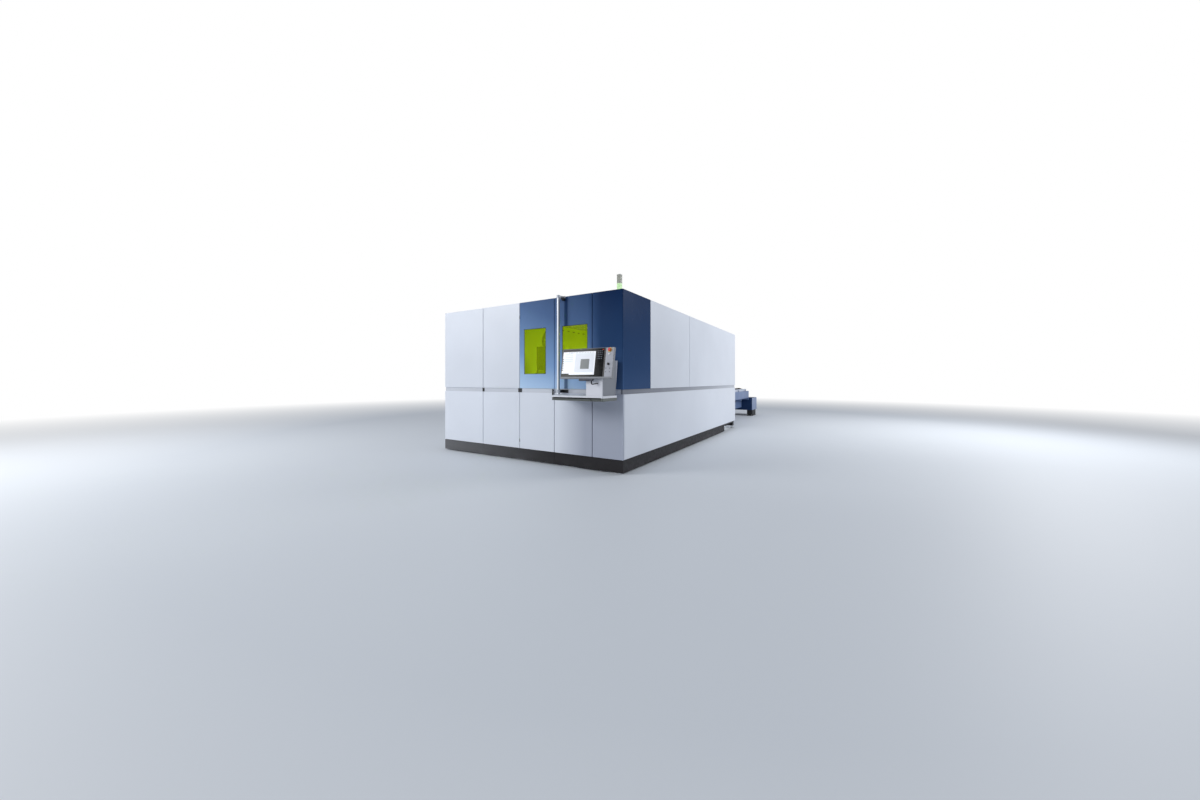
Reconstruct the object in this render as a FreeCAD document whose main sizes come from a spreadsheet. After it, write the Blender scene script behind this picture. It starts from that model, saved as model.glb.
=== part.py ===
# Sheet-metal fiber laser cutting machine: a closed cabin round a gantry, a swing console in front
# and a two-level pallet changer behind it.
# Origin on the floor under the middle of the machine, +X to the side with the console, the front
# towards -Y, +Z up, millimetres.
import FreeCAD, Part
import math
import os
import re
import Sketcher
from FreeCAD import Placement, Rotation, Vector

SIZES = {
    # cabin
    "cabin_width": 3574, "cabin_length": 6080, "cabin_height": 2400,
    "plinth_height": 180, "band_low": 1035, "band_high": 1100, "ceiling_height": 2340,
    "panel_gap": 12, "panel_fold": 30, "panel_sheet": 3, "band_recess": 12, "frame_tube": 60,
    "door_clearance": 2, "corner_radius": 14,
    # roof ribs and the partition's air slots
    "rib_start": 980, "slot_first": 500, "slot_pitch": 190, "slot_width": 80, "slot_tall": 22,
    "slot_drop": 85,
    # front columns from the right corner, and the side panels from the front
    "corner_width": 471, "window_width": 650, "door_width": 671, "middle_width": 808,
    "corner_side": 846, "side_split": 2556, "left_split": 3040,
    # windows
    "window_low": 1312, "window_high": 1989, "door_glass_width": 424, "door_glass_margin": 92,
    "fixed_glass_width": 433, "fixed_glass_margin": 142, "gasket_width": 6, "glass_thickness": 6,
    # front door
    "hinge_radius": 5.6, "hinge_pin": 3, "hinge_half": 24, "hinge_leaf": 2.4, "hinge_play": 0.3,
    "hinge_inset": 4, "hinge_cap": 26, "handle_inset": 14, "handle_drop": 26,
    "handle_stand_off": 16, "handle_lever": 10, "handle_boss": 9,
    "hinge_from_foot": 120, "hinge_on_band": 32, "hinge_from_top": 220, "hinge_overlap": 1,
    "lever_half": 11, "lever_rise": 14, "lever_fall": 84, "lever_nose": 6, "lever_head": 6,
    "lever_tail": 12,
    # feet and plinth
    "foot_height": 60, "foot_radius": 50, "foot_disc": 14, "stud_radius": 12,
    "plinth_lift": 16, "plinth_inset": 4, "skirt_short": 1060, "end_bay": 520,
    "rear_side_post": 4300, "rim_tall": 40, "corner_block": 140,
    # bed and gantry
    "bed_offset": 1290, "bed_start": 800, "bed_end": 5940, "bed_beam_width": 135,
    "bed_height": 1280, "rail_size": 30, "gantry_start": 1000, "gantry_depth": 280,
    "gantry_lift": 110, "gantry_tall": 280, "gantry_wall": 10, "head_offset": 2125,
    "driver_offset": 82, "cross_rail": 24, "cross_rail_depth": 18, "cross_rail_edge": 30,
    "rail_end": 20, "bed_hole_first": 300, "bed_hole_last": 240, "bed_hole_low": 180,
    "bed_hole_width": 700, "bed_hole_tall": 260, "bed_cross_first": 100, "bed_cross_last": 120,
    "bearing_length": 70, "bearing_edge": 10, "bearing_jaw": 14, "bearing_stand_off": 0.4,
    "rail_clearance": 0.3, "drive_taper": 18, "drive_lid": 12,
    # cutting head, as radii and heights above the nozzle
    "nozzle_tip": 4, "nozzle_radius": 17, "nozzle_taper": 20, "nozzle_tall": 60,
    "head_cone": 90, "head_radius": 46, "head_waist": 300, "drum_radius": 48,
    "driver_width": 42, "foot_toe": 60, "foot_heel": 90, "foot_slope": 30,
    "carriage_width": 260, "carriage_height": 380, "carriage_plate": 25,
    "carriage_gap": 45, "drive_width": 110, "drive_depth": 140, "drive_rise": 70,
    "drive_over": 110, "ram_show": 20, "ram_size": 50, "ram_clearance": 0.5, "nozzle_height": 1040,
    # energy chain of the cross travel
    "chain_radius": 205, "chain_pitch": 60, "link_height": 60, "link_width": 100, "link_wall": 6,
    "link_bar": 16, "link_taper": 2.2, "link_gap": 0.6, "chain_rest": 0.3, "arm_gap": 0.3,
    "arm_thickness": 11,
    # pallets and their tracks
    "pallet_width": 1660, "pallet_length": 3300, "pallet_tube": 60, "pallet_beam_height": 100,
    "pallet_drop": 30, "pallet_cross_height": 45, "pallet_tail": 200, "slat_first": 100,
    "slat_tip": 105,
    "slat_thickness": 5, "slat_pitch": 130, "tooth_pitch": 186, "tooth_depth": 30,
    "wheel_radius": 30, "wheel_width": 26, "wheel_zone": 50, "wheel_gap": 0.3, "track_play": 4,
    "upper_track": 860, "lower_track": 660, "pallet_parked": 1400, "changer_parked": 6340,
    "track_web": 10, "track_flange": 12, "track_low": 620, "track_inner_start": 1200,
    "track_joint": 40,
    # changer
    "changer_reach": 10590, "changer_start": 5985, "cross_tube": 60, "first_cross": 6290,
    "lower_beam_inset": 240, "lower_beam_low": 290, "lower_beam_width": 110,
    "end_unit_start": 9790, "end_unit_low": 200, "end_unit_slope": 30,
    "end_unit_overhang": 110, "unit_foot_width": 176, "unit_foot_length": 660,
    "unit_foot_toe": 50, "leg_size": 110, "leg_outset": 60, "foot_plate": 200,
    "foot_plate_thickness": 15, "anchor_spacing": 140, "anchor_radius": 9, "anchor_edge": 15,
    # rear gate
    "opening_half": 1000, "opening_low": 590, "opening_high": 1120, "gate_thickness": 24,
    "gate_lift": 550, "gate_margin": 12, "gate_guide": 40, "guide_sheet": 4, "guide_web": 6,
    "gate_play": 0.4, "gate_border": 30, "guide_over": 60,
    # service side
    "spigot_radius": 100, "spigot_length": 80, "spigot_height": 1900, "spigot_offset": 560,
    "spigot_flange": 35, "spigot_wall": 3, "spigot_sheet": 4, "spigot_hole": 180,
    "cabinet_aisle": 144, "cabinet_depth": 600, "cabinet_height": 1900,
    "source_inset": 60, "source_depth": 900, "source_height": 1150, "bay_clearance": 40,
    "groove_width": 6, "groove_depth": 8, "groove_end": 90, "louvre_first": 120,
    "louvre_pitch": 30, "louvre_tall": 14, "louvre_depth": 12, "louvre_edge": 80,
    # console
    "console_reach": 480, "post_from_side": 979, "post_stand_off": 87, "post_radius": 20,
    "post_top": 2410, "post_wall": 4, "bearing_gap": 0.05, "bracket_ring": 5, "bracket_arm": 36,
    "bracket_low_tall": 42, "bracket_top_tall": 34, "bracket_top_drop": 36, "bracket_lift": 10,
    "plate_sheet": 5, "bracket_plate": 200, "bracket_top_plate": 120,
    "shelf_right": 30, "shelf_width": 770, "shelf_front": 450, "shelf_back": 105,
    "shelf_low": 962, "shelf_top": 1026, "shelf_plate": 22, "shelf_side": 20,
    "drawer_slot": 14, "drawer_gap": 0.4, "drawer_wall": 8, "drawer_floor": 4,
    "drawer_lip": 14, "shelf_round": 12,
    "keyboard_width": 440, "keyboard_depth": 140, "keyboard_lip": 9, "keyboard_back": 18,
    "keyboard_from_left": 165, "keyboard_from_front": 90, "key_margin": 30, "key_first": 12,
    "key_pitch": 24, "key_foot": 16, "key_draft": 2, "key_front": 7, "key_rear": 8,
    "pedestal_right": 60, "pedestal_width": 245, "pedestal_front": 400, "pedestal_back": 90,
    "pedestal_bend": 1200, "pedestal_top": 1470, "pedestal_spread": 60, "pedestal_round": 10,
    # monitor
    "monitor_width": 760, "monitor_tall": 378, "monitor_depth": 45, "monitor_tilt": 10,
    "monitor_right": -104, "monitor_middle": 1427, "monitor_front": 434, "screen_width": 630,
    "screen_chin": 22, "screen_thickness": 4, "screen_margin": 4, "glass_recess": 0.5,
    "strip_proud": 1, "monitor_chamfer": 8, "button_hole": 11.3, "stem_radius": 11,
    # controls of the strip
    "collar_radius": 27, "collar_depth": 4, "stop_radius": 20, "stop_head": 12,
    "stop_stem": 13, "stop_out": 23, "stop_chamfer": 4, "start_stem": 10, "start_out": 8,
    "start_chamfer": 1.5, "knob_radius": 15, "knob_depth": 9.7, "knob_start": 5,
    "knob_out": 16, "knob_drop": 14, "knob_aside": 2, "grip_depth": 6, "grip_width": 8,
    "grip_tall": 28, "lamp_radius": 5.5, "lamp_depth": 3, "lamp_out": 4, "lamp_aside": 26,
    "lamp_high": 66, "lamp_low": 109,
    # mount, connector cover and lead
    "button_well": 4, "mount_width": 120, "mount_tall": 100, "mount_plate": 5, "ear_width": 8,
    "ear_gap": 0.3,
    "spindle_radius": 6, "knuckle_radius": 10, "knuckle_width": 60, "cover_width": 200, "cover_right": 108,
    "cover_inset": 6, "cover_depth": 26, "cover_tall": 26, "cable_radius": 6.5,
    "cable_drop": 46, "cable_run": 58, "cable_lead": 26, "cable_inset": 18,
    # signal tower
    "tower_side": 56, "tower_from_side": 148, "tower_from_front": 178, "tower_top": 2640,
    "tower_foot": 24, "tower_joint": 120, "tower_cap": 12, "tower_round": 4, "tower_shrink": 1,
}

# how many of each repeated thing
ROOF_RIBS = 5
AIR_SLOTS = 25
BED_HOLES = 4
BED_CROSSES = 4
KEY_ROWS = 5
LOUVRES = 7

PLACES = {
    "right": "cabin_width / 2",
    "left": "-cabin_width / 2",
    "front": "(console_reach - changer_reach) / 2",
    "rear": "front + cabin_length",
    "seam_corner": "right - corner_width",
    "seam_window": "seam_corner - window_width",
    "seam_door": "seam_window - door_width",
    "seam_middle": "seam_door - middle_width",
    "frame_front": "front + panel_fold",
    "frame_rear": "rear - panel_fold",
    "frame_right": "right - panel_fold",
    "frame_left": "left + panel_fold",
    "half_gap": "panel_gap / 2",
    "lower_start": "plinth_height + half_gap",
    "upper_tall": "cabin_height - band_high",
    "lower_tall": "band_low - lower_start",
    "glass_tall": "window_high - window_low",
    "door_glass_left": "seam_door + door_glass_margin",
    "fixed_glass_left": "seam_window + fixed_glass_margin",
    "hinge_y": "front + door_clearance",
    "bed_middle": "right - bed_offset",
    "track_half": "pallet_width / 2 + wheel_zone + track_web",
    "bed_half": "track_half + bed_beam_width",
    "track_inner_end": "changer_start - track_joint",
    "bed_hole_pitch": ("(bed_end - bed_start - bed_hole_first - bed_hole_last - bed_hole_width)"
                       f" / {BED_HOLES - 1}"),
    "bed_cross_pitch": ("(bed_end - bed_start - bed_cross_first - bed_cross_last"
                        f" - 2 * cross_tube) / {BED_CROSSES - 1}"),
    "rail_top": "bed_height + rail_size",
    "head_x": "right - head_offset",
    "gantry_front": "front + gantry_start",
    "gantry_low": "rail_top + gantry_lift",
    "gantry_high": "gantry_low + gantry_tall",
    "drive_low": "gantry_low + drive_rise",
    "drive_high": "gantry_high + drive_over",
    "carriage_y": "gantry_front - carriage_gap",
    "head_y": "carriage_y - drive_depth / 2",
    "post_x": "right - post_from_side",
    "post_y": "front - post_stand_off",
    "shelf_left_x": "right - shelf_right - shelf_width",
    "shelf_front_y": "front - shelf_front",
    "shelf_back_y": "front - shelf_back",
    "drawer_top": "shelf_top - shelf_plate - drawer_slot",
    "pedestal_left_x": "right - pedestal_right - pedestal_width",
    "monitor_x": "right - monitor_right - monitor_width / 2",
    "monitor_y": "front - monitor_front",
    "stop_u": "screen_width / 2 + 7",
    "stop_w": "monitor_tall / 2 - 30",
    "start_u": "screen_width / 2 + 3",
    "start_w": "monitor_tall / 2 - 80",
    "strip_left": "screen_width - monitor_width / 2",
    "spindle_v": "monitor_depth + knuckle_radius + 1",
    "mount_u": "right - pedestal_right - pedestal_width / 2 - monitor_x",
    "pedestal_v": "(monitor_front - pedestal_front) * cos(monitor_tilt)"
                  " + (monitor_middle - pedestal_bend) * sin(monitor_tilt)",
    "rear_inner": "front + track_inner_end",
    "plinth_side_end": "cabin_length - skirt_short",
    "cross_pitch": "(plinth_side_end - end_bay) / 3",
    "cabinet_width": "seam_middle - frame_left - frame_tube - bay_clearance - cabinet_aisle",
    "source_width": "cabinet_width - source_inset",
    "gate_front": "rear_inner + guide_sheet + gate_play",
    "slat_seat": "pallet_cross_height - pallet_drop",
    "slat_tall": "slat_tip - slat_seat",
    "plate_low": "(gantry_low + gantry_high) / 2 - carriage_height / 2",
    "chain_top": "gantry_high + chain_rest + link_height + 2 * chain_radius",
}

# links of the energy chain on the beam, and past the bend under the driver
RUN_LINKS = 14
DRIVER_LINKS = 2
CABLE_SIDES = 10

doc = FreeCAD.newDocument("laser_cutting_machine")
dims = doc.addObject("Spreadsheet::Sheet", "dims")
places = doc.addObject("Spreadsheet::Sheet", "places")
nodes = []


def formula(text):
    """A formula with each size or place name turned into its cell."""

    def cell(match):
        name = match.group(0)
        if name in SIZES:
            return "dims." + name
        return "places." + name if name in PLACES else name

    return re.sub(r"[a-z][a-z_]*", cell, str(text))


for row, (name, number) in enumerate(SIZES.items(), 1):
    dims.set(f"A{row}", name)
    dims.set(f"B{row}", str(number))
    dims.setAlias(f"B{row}", name)
doc.recompute()
for row, (name, text) in enumerate(PLACES.items(), 1):
    places.set(f"A{row}", name)
    places.set(f"B{row}", "=" + formula(text))
    places.setAlias(f"B{row}", name)
doc.recompute()
size = {name: float(dims.get(name)) for name in SIZES}
place = {name: float(places.get(name)) for name in PLACES}


def bind(thing, **formulas):
    for name, text in formulas.items():
        thing.setExpression(name, formula(text))
    return thing


def put(thing, x=0, y=0, z=0, turn=0):
    """Stand a thing at a place, turned about the upright axis."""
    thing.Placement = Placement(Vector(), Rotation(Vector(0, 0, 1), turn))
    for letter, text in zip("xyz", (x, y, z)):
        thing.setExpression("Placement.Base." + letter, formula(text))
    return thing


def node(thing):
    nodes.append(thing)
    return thing


def group(label, members):
    """Separate solids under one name."""
    compound = doc.addObject("Part::Compound", label)
    compound.Links = members
    return compound


def weld(label, members):
    """Members that are joined into one solid."""
    joined = doc.addObject("Part::MultiFuse", label)
    joined.Shapes = members
    joined.Refine = True
    return joined


def cut(label, base, tool):
    result = doc.addObject("Part::Cut", label)
    result.Base = base
    result.Tool = tool
    result.Refine = True
    return result


def block(label, start, length, width, height):
    thing = bind(doc.addObject("Part::Box", label), Length=length, Width=width, Height=height)
    return put(thing, *start)


def cylinder(label, start, radius, height):
    thing = bind(doc.addObject("Part::Cylinder", label), Radius=radius, Height=height)
    return put(thing, *start)


def prism(label, start, sides, radius, height):
    """An upright prism with the middle of its foot at start."""
    thing = bind(doc.addObject("Part::Prism", label), Circumradius=radius, Height=height)
    thing.Polygon = sides
    return put(thing, *start)


def sketch_on(body, plane, offset=0):
    """A sketch on one of the body's own planes, moved along the axis that the plane leaves out."""
    sketch = body.newObject("Sketcher::SketchObject", body.Name + "_sketch")
    support = [f for f in body.Origin.OriginFeatures if f.Role == plane + "_Plane"][0]
    sketch.AttachmentSupport = [(support, "")]
    sketch.MapMode = "FlatFace"
    if offset:
        sign = "-" if plane == "XZ" else ""
        sketch.setExpression("AttachmentOffset.Base.z", formula(f"{sign}({offset})"))
    return sketch


def outline(sketch, points):
    """A closed outline whose corners are held at formulas."""
    first = sketch.GeometryCount
    count = len(points)
    ring = [Vector(math.cos(2 * math.pi * i / count), math.sin(2 * math.pi * i / count), 0)
            for i in range(count)]
    for i in range(count):
        sketch.addGeometry(Part.LineSegment(ring[i], ring[(i + 1) % count]), False)
    for i in range(count):
        after = first + (i + 1) % count
        sketch.addConstraint(Sketcher.Constraint("Coincident", first + i, 2, after, 1))
    for i, corner in enumerate(points):
        for kind, start, text in zip(("DistanceX", "DistanceY"), (ring[i].x, ring[i].y), corner):
            held = Sketcher.Constraint(kind, -1, 1, first + i, 1, start)
            sketch.setExpression(f"Constraints[{sketch.addConstraint(held)}]", formula(text))


def rectangle(sketch, u, w, wide, tall):
    outline(sketch, [(u, w), (f"{u} + {wide}", w), (f"{u} + {wide}", f"{w} + {tall}"),
                     (u, f"{w} + {tall}")])


def circle(sketch, u, w, radius):
    index = sketch.addGeometry(Part.Circle(Vector(1, 1, 0), Vector(0, 0, 1), 1), False)
    for kind, text in zip(("DistanceX", "DistanceY"), (u, w)):
        held = Sketcher.Constraint(kind, -1, 1, index, 3, 1.0)
        sketch.setExpression(f"Constraints[{sketch.addConstraint(held)}]", formula(text))
    held = Sketcher.Constraint("Radius", index, 1.0)
    sketch.setExpression(f"Constraints[{sketch.addConstraint(held)}]", formula(radius))


def new_body(label):
    return doc.addObject("PartDesign::Body", label)


def pad(body, plane, length, draw, offset=0):
    """Pad what draw(sketch) makes towards the positive axis, from a plane at offset."""
    sketch = sketch_on(body, plane, offset)
    draw(sketch)
    feature = body.newObject("PartDesign::Pad", body.Name + "_pad")
    feature.Profile = sketch
    feature.Reversed = plane == "XZ"
    return bind(feature, Length=length)


def pocket(body, plane, length, draw, offset=0):
    """Pocket what draw(sketch) makes towards the positive axis, from a plane at offset."""
    sketch = sketch_on(body, plane, offset)
    draw(sketch)
    feature = body.newObject("PartDesign::Pocket", body.Name + "_pocket")
    feature.Profile = sketch
    feature.Reversed = plane != "XZ"
    return bind(feature, Length=length)


def repeat(body, feature, axis, length, count):
    """A row of a feature along one of the body's axes."""
    row = body.newObject("PartDesign::LinearPattern", body.Name + "_row")
    row.Originals = [feature]
    line = [f for f in body.Origin.OriginFeatures if f.Role == axis + "_Axis"][0]
    row.Direction = (line, [""])
    bind(row, Length=length)
    row.Occurrences = count
    body.Tip = row
    return row


def dress_edges(body, kind, wanted, **sizes):
    """Round or chamfer the tip's edges whose middle point and direction wanted() picks."""
    doc.recompute()
    tip = body.Tip
    names = []
    for i, edge in enumerate(tip.Shape.Edges, 1):
        middle = edge.valueAt((edge.FirstParameter + edge.LastParameter) / 2)
        along = edge.tangentAt(edge.FirstParameter)
        if wanted(middle, along):
            names.append(f"Edge{i}")
    dressed = body.newObject("PartDesign::" + kind, body.Name + "_edge")
    dressed.Base = (tip, names)
    return bind(dressed, **sizes)


def round_edges(body, radius, wanted):
    return dress_edges(body, "Fillet", wanted, Radius=radius)


def chamfer_edges(body, width, wanted):
    return dress_edges(body, "Chamfer", wanted, Size=width)


def tray(label, width, height, fold="panel_fold", hole=None):
    """A folded sheet panel in the XZ plane, its face at y = 0 and its folds towards +Y."""

    def face(sketch):
        rectangle(sketch, "0", "0", width, height)
        if hole:
            rectangle(sketch, *hole)

    def folds(sketch):
        rectangle(sketch, "0", "0", width, height)
        rectangle(sketch, "panel_sheet", "panel_sheet", f"{width} - 2 * panel_sheet",
                  f"{height} - 2 * panel_sheet")

    body = new_body(label)
    pad(body, "XZ", "panel_sheet", face)
    pad(body, "XZ", f"{fold} - panel_sheet", folds, "panel_sheet")
    return body


def front_tray(label, seam_from, seam_to, low, tall, fold="panel_fold", hole=None):
    """A tray of the front, between two seams."""
    width = f"({seam_to}) - ({seam_from}) - panel_gap"
    return put(tray(label, width, tall, fold, hole), f"{seam_from} + half_gap", "front", low)


def side_tray(label, near, far, low, tall, side):
    """A tray of the right (1) or left (-1) side, between two distances behind the front."""
    width = f"({far}) - ({near}) - panel_gap"
    if side > 0:
        return put(tray(label, width, tall), "right", f"front + {near} + half_gap", low, 90)
    return put(tray(label, width, tall), "left", f"front + {far} - half_gap", low, -90)


# ---- base, feet and plinth ----
def butted(label, start, stops, place_bar):
    """Bars of one line from start to each stop in turn, with a tube's width left at every stop."""
    bars = []
    for i, stop in enumerate(stops):
        bars.append(place_bar(f"{label}_{i}", start, f"{stop} - ({start})"))
        start = f"{stop} + frame_tube"
    return bars


def base_frame():
    """Butted square tube on the feet; past the skirting only a shallow rim remains."""
    low = "foot_height"
    tall = "plinth_height - foot_height"
    rim = "plinth_height - rim_tall"
    rows = ["frame_front", "front + cross_pitch", "front + 2 * cross_pitch",
            "front + 3 * cross_pitch"]
    inner = ["bed_middle - bed_half", "bed_middle + bed_half - frame_tube"]
    sides = ["frame_left", "frame_right - frame_tube"]
    skirt_end = "front + plinth_side_end"
    block_y = "frame_rear - corner_block"
    bars = []
    for i, y in enumerate(rows):
        bars.append(block(f"base_cross_{i}", ("frame_left", y, low), "frame_right - frame_left",
                          "frame_tube", tall))
    for i, x in enumerate(inner + sides):
        end = "frame_rear" if x in inner else skirt_end
        bars += butted(f"base_long_{i}", "frame_front + frame_tube", rows[1:] + [end],
                       lambda label, y, long, x=x: block(label, (x, y, low), "frame_tube", long,
                                                         tall))
    for i, x in enumerate(sides):
        bars.append(block(f"base_rim_{i}", (x, skirt_end, rim), "frame_tube",
                          f"{block_y} - ({skirt_end})", "rim_tall"))
    for i, x in enumerate(["frame_left", "frame_right - corner_block"]):
        bars.append(block(f"base_corner_{i}", (x, block_y, low), "corner_block", "corner_block",
                          tall))
    bars += butted("base_rear", "frame_left + corner_block",
                   inner + ["frame_right - corner_block"],
                   lambda label, x, long: block(label, (x, "frame_rear - frame_tube", rim), long,
                                                "frame_tube", "rim_tall"))
    return group("base_frame", bars)


def levelling_feet():
    """Hexagon studs on eight-sided pads, under the corners and the middle of the base frame."""
    feet = []
    columns = ["frame_left + frame_tube / 2", "bed_middle - bed_half + frame_tube / 2",
               "frame_right - frame_tube / 2"]
    rows = ["frame_front + frame_tube / 2", "front + 2 * cross_pitch + frame_tube / 2",
            "frame_rear - frame_tube / 2"]
    for i, x in enumerate(columns):
        for j, y in enumerate(rows):
            pad_plate = prism(f"foot_pad_{i}_{j}", (x, y, "0"), 8, "foot_radius", "foot_disc")
            stud = prism(f"foot_stud_{i}_{j}", (x, y, "foot_disc"), 6, "stud_radius",
                         "foot_height - foot_disc")
            feet.append(weld(f"foot_{i}_{j}", [pad_plate, stud]))
    return group("levelling_feet", feet)


def plinth_covers():
    """Dark folded skirting sheets between the floor and the lower panels."""
    tall = "plinth_height - plinth_lift"
    fold = "panel_fold - plinth_inset"
    covers = []
    seams = ["left", "seam_middle", "seam_door", "seam_window", "right"]
    for i, (near, far) in enumerate(zip(seams, seams[1:])):
        cover = tray(f"plinth_front_{i}", f"({far}) - ({near}) - door_clearance", tall, fold)
        covers.append(put(cover, f"{near} + door_clearance / 2", "front + plinth_inset",
                          "plinth_lift"))
    long = "plinth_side_end - panel_fold"
    covers.append(put(tray("plinth_right", long, tall, fold), "right - plinth_inset",
                      "frame_front", "plinth_lift", 90))
    covers.append(put(tray("plinth_left", long, tall, fold), "left + plinth_inset",
                      "front + plinth_side_end", "plinth_lift", -90))
    return group("plinth_covers", covers)


# ---- enclosure ----
def enclosure_frame():
    """The cage of butted square tube that carries every panel."""
    top = "ceiling_height - frame_tube"
    rear_y = "frame_rear - frame_tube"
    sides = ["frame_left", "frame_right - frame_tube"]
    front_posts = ["frame_left", "seam_middle - frame_tube / 2", "seam_door - frame_tube",
                   "seam_window", "seam_corner - frame_tube / 2", "frame_right - frame_tube"]
    rear_posts = ["frame_left", "bed_middle - opening_half - gate_guide - frame_tube",
                  "bed_middle + opening_half + gate_guide", "frame_right - frame_tube"]
    side_posts = ["front + corner_side - frame_tube / 2", "front + side_split - frame_tube / 2",
                  "front + rear_side_post"]
    bars = []

    def post(label, x, y):
        bars.append(block(label, (x, y, "plinth_height + frame_tube"), "frame_tube",
                          "frame_tube", f"{top} - plinth_height - frame_tube"))

    def rail_across(label, x, y, z, long):
        bars.append(block(label, (x, y, z), long, "frame_tube", "frame_tube"))

    def rail_along(label, x, y, z, long):
        bars.append(block(label, (x, y, z), "frame_tube", long, "frame_tube"))

    for i, z in enumerate(["plinth_height", top]):
        for j, y in enumerate(["frame_front", rear_y]):
            rail_across(f"cross_rail_{i}_{j}", "frame_left", y, z, "frame_right - frame_left")
        for j, x in enumerate(sides):
            rail_along(f"side_rail_{i}_{j}", x, "frame_front + frame_tube", z,
                       f"{rear_y} - frame_front - frame_tube")
    for i, x in enumerate(front_posts):
        post(f"front_post_{i}", x, "frame_front")
    for i, x in enumerate(rear_posts):
        post(f"rear_post_{i}", x, rear_y)
    for i, y in enumerate(side_posts):
        for j, x in enumerate(sides):
            post(f"side_post_{i}_{j}", x, y)
    for i, (near, far) in enumerate(zip(front_posts, front_posts[1:])):
        if near != "seam_door - frame_tube":
            start = f"{near} + frame_tube"
            rail_across(f"band_rail_{i}", start, "frame_front", "band_low", f"{far} - ({start})")
    for j, x in enumerate(sides):
        for i, (near, far) in enumerate(zip(["frame_front"] + side_posts, side_posts + [rear_y])):
            start = f"{near} + frame_tube"
            rail_along(f"side_band_{j}_{i}", x, start, "band_low", f"{far} - ({start})")
    for i, z in enumerate(["opening_low - frame_tube", "opening_high"]):
        rail_across(f"opening_rail_{i}", "bed_middle - opening_half - gate_guide", rear_y, z,
                    "2 * opening_half + 2 * gate_guide")
    return group("enclosure_frame", bars)


def corner_panel():
    """The corner sheet, folded round the right front edge, with a fold on every free edge."""
    across = "corner_width - half_gap"
    back = "corner_side - half_gap"
    body = new_body("corner_panel")

    def skin(sketch):
        outline(sketch, [("0", "0"), (across, "0"), (across, back),
                         (f"{across} - panel_fold", back),
                         (f"{across} - panel_fold", f"{back} - panel_sheet"),
                         (f"{across} - panel_sheet", f"{back} - panel_sheet"),
                         (f"{across} - panel_sheet", "panel_sheet"),
                         ("panel_sheet", "panel_sheet"), ("panel_sheet", "panel_fold"),
                         ("0", "panel_fold")])

    def flange(sketch):
        outline(sketch, [("0", "0"), (across, "0"), (across, back),
                         (f"{across} - panel_fold", back),
                         (f"{across} - panel_fold", "panel_fold"), ("0", "panel_fold")])

    pad(body, "XY", "upper_tall", skin)
    pad(body, "XY", "panel_sheet", flange)
    pad(body, "XY", "panel_sheet", flange, "upper_tall - panel_sheet")
    edge_x = size["corner_width"] - place["half_gap"]
    round_edges(body, "corner_radius",
                lambda middle, along: abs(along.z) > 0.9 and abs(middle.x - edge_x) < 0.1
                and abs(middle.y) < 0.1)
    return put(body, "seam_corner + half_gap", "front", "band_high")


def trim_band():
    """The recessed strip between the lower and upper panels, except across the door."""
    tall = "band_high - band_low"
    deep = "panel_fold - band_recess"
    strips = [
        block("band_front_left", ("left + band_recess", "front + band_recess", "band_low"),
              "seam_door - half_gap - left - band_recess", deep, tall),
        block("band_front_right", ("seam_window + half_gap", "front + band_recess", "band_low"),
              "right - band_recess - seam_window - half_gap", deep, tall),
        block("band_side_right", ("frame_right", "frame_front", "band_low"), deep,
              "cabin_length - 2 * panel_fold", tall),
        block("band_side_left", ("left + band_recess", "frame_front", "band_low"), deep,
              "cabin_length - 2 * panel_fold", tall)]
    return group("trim_band", strips)


def roof():
    """A shallow tray on top of the cage, its sheet at the ceiling, with stiffening ribs."""
    wide = "frame_right - frame_left"
    long = "frame_rear - frame_front"
    tall = "cabin_height - ceiling_height"
    body = new_body("roof")
    pad(body, "XY", "panel_sheet", lambda sketch: rectangle(sketch, "0", "0", wide, long))

    def folds(sketch):
        rectangle(sketch, "0", "0", wide, long)
        rectangle(sketch, "panel_sheet", "panel_sheet", f"{wide} - 2 * panel_sheet",
                  f"{long} - 2 * panel_sheet")

    pad(body, "XY", f"{tall} - panel_sheet", folds, "panel_sheet")
    rib = pad(body, "XY", f"({tall}) / 2",
              lambda sketch: rectangle(sketch, "panel_sheet", "rib_start",
                                       f"{wide} - 2 * panel_sheet", "frame_tube"), "panel_sheet")
    repeat(body, rib, "Y", "cabin_length - 2 * panel_fold - 2 * rib_start - frame_tube",
           ROOF_RIBS)
    return put(body, "frame_left", "frame_front", "ceiling_height")


def chamber_partition():
    """The inner wall beside the cutting room, with a row of air slots under the ceiling."""
    body = new_body("chamber_partition")
    long = "cabin_length - 2 * panel_fold - 2 * frame_tube"
    tall = "ceiling_height - plinth_height"
    pad(body, "YZ", "panel_sheet", lambda sketch: rectangle(sketch, "0", "0", long, tall))
    slot = pocket(body, "YZ", "panel_sheet",
                  lambda sketch: rectangle(sketch, "slot_first", f"{tall} - slot_drop",
                                           "slot_width", "slot_tall"))
    repeat(body, slot, "Y", f"slot_pitch * {AIR_SLOTS - 1}", AIR_SLOTS)
    return put(body, "seam_middle", "frame_front + frame_tube", "plinth_height")


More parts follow.
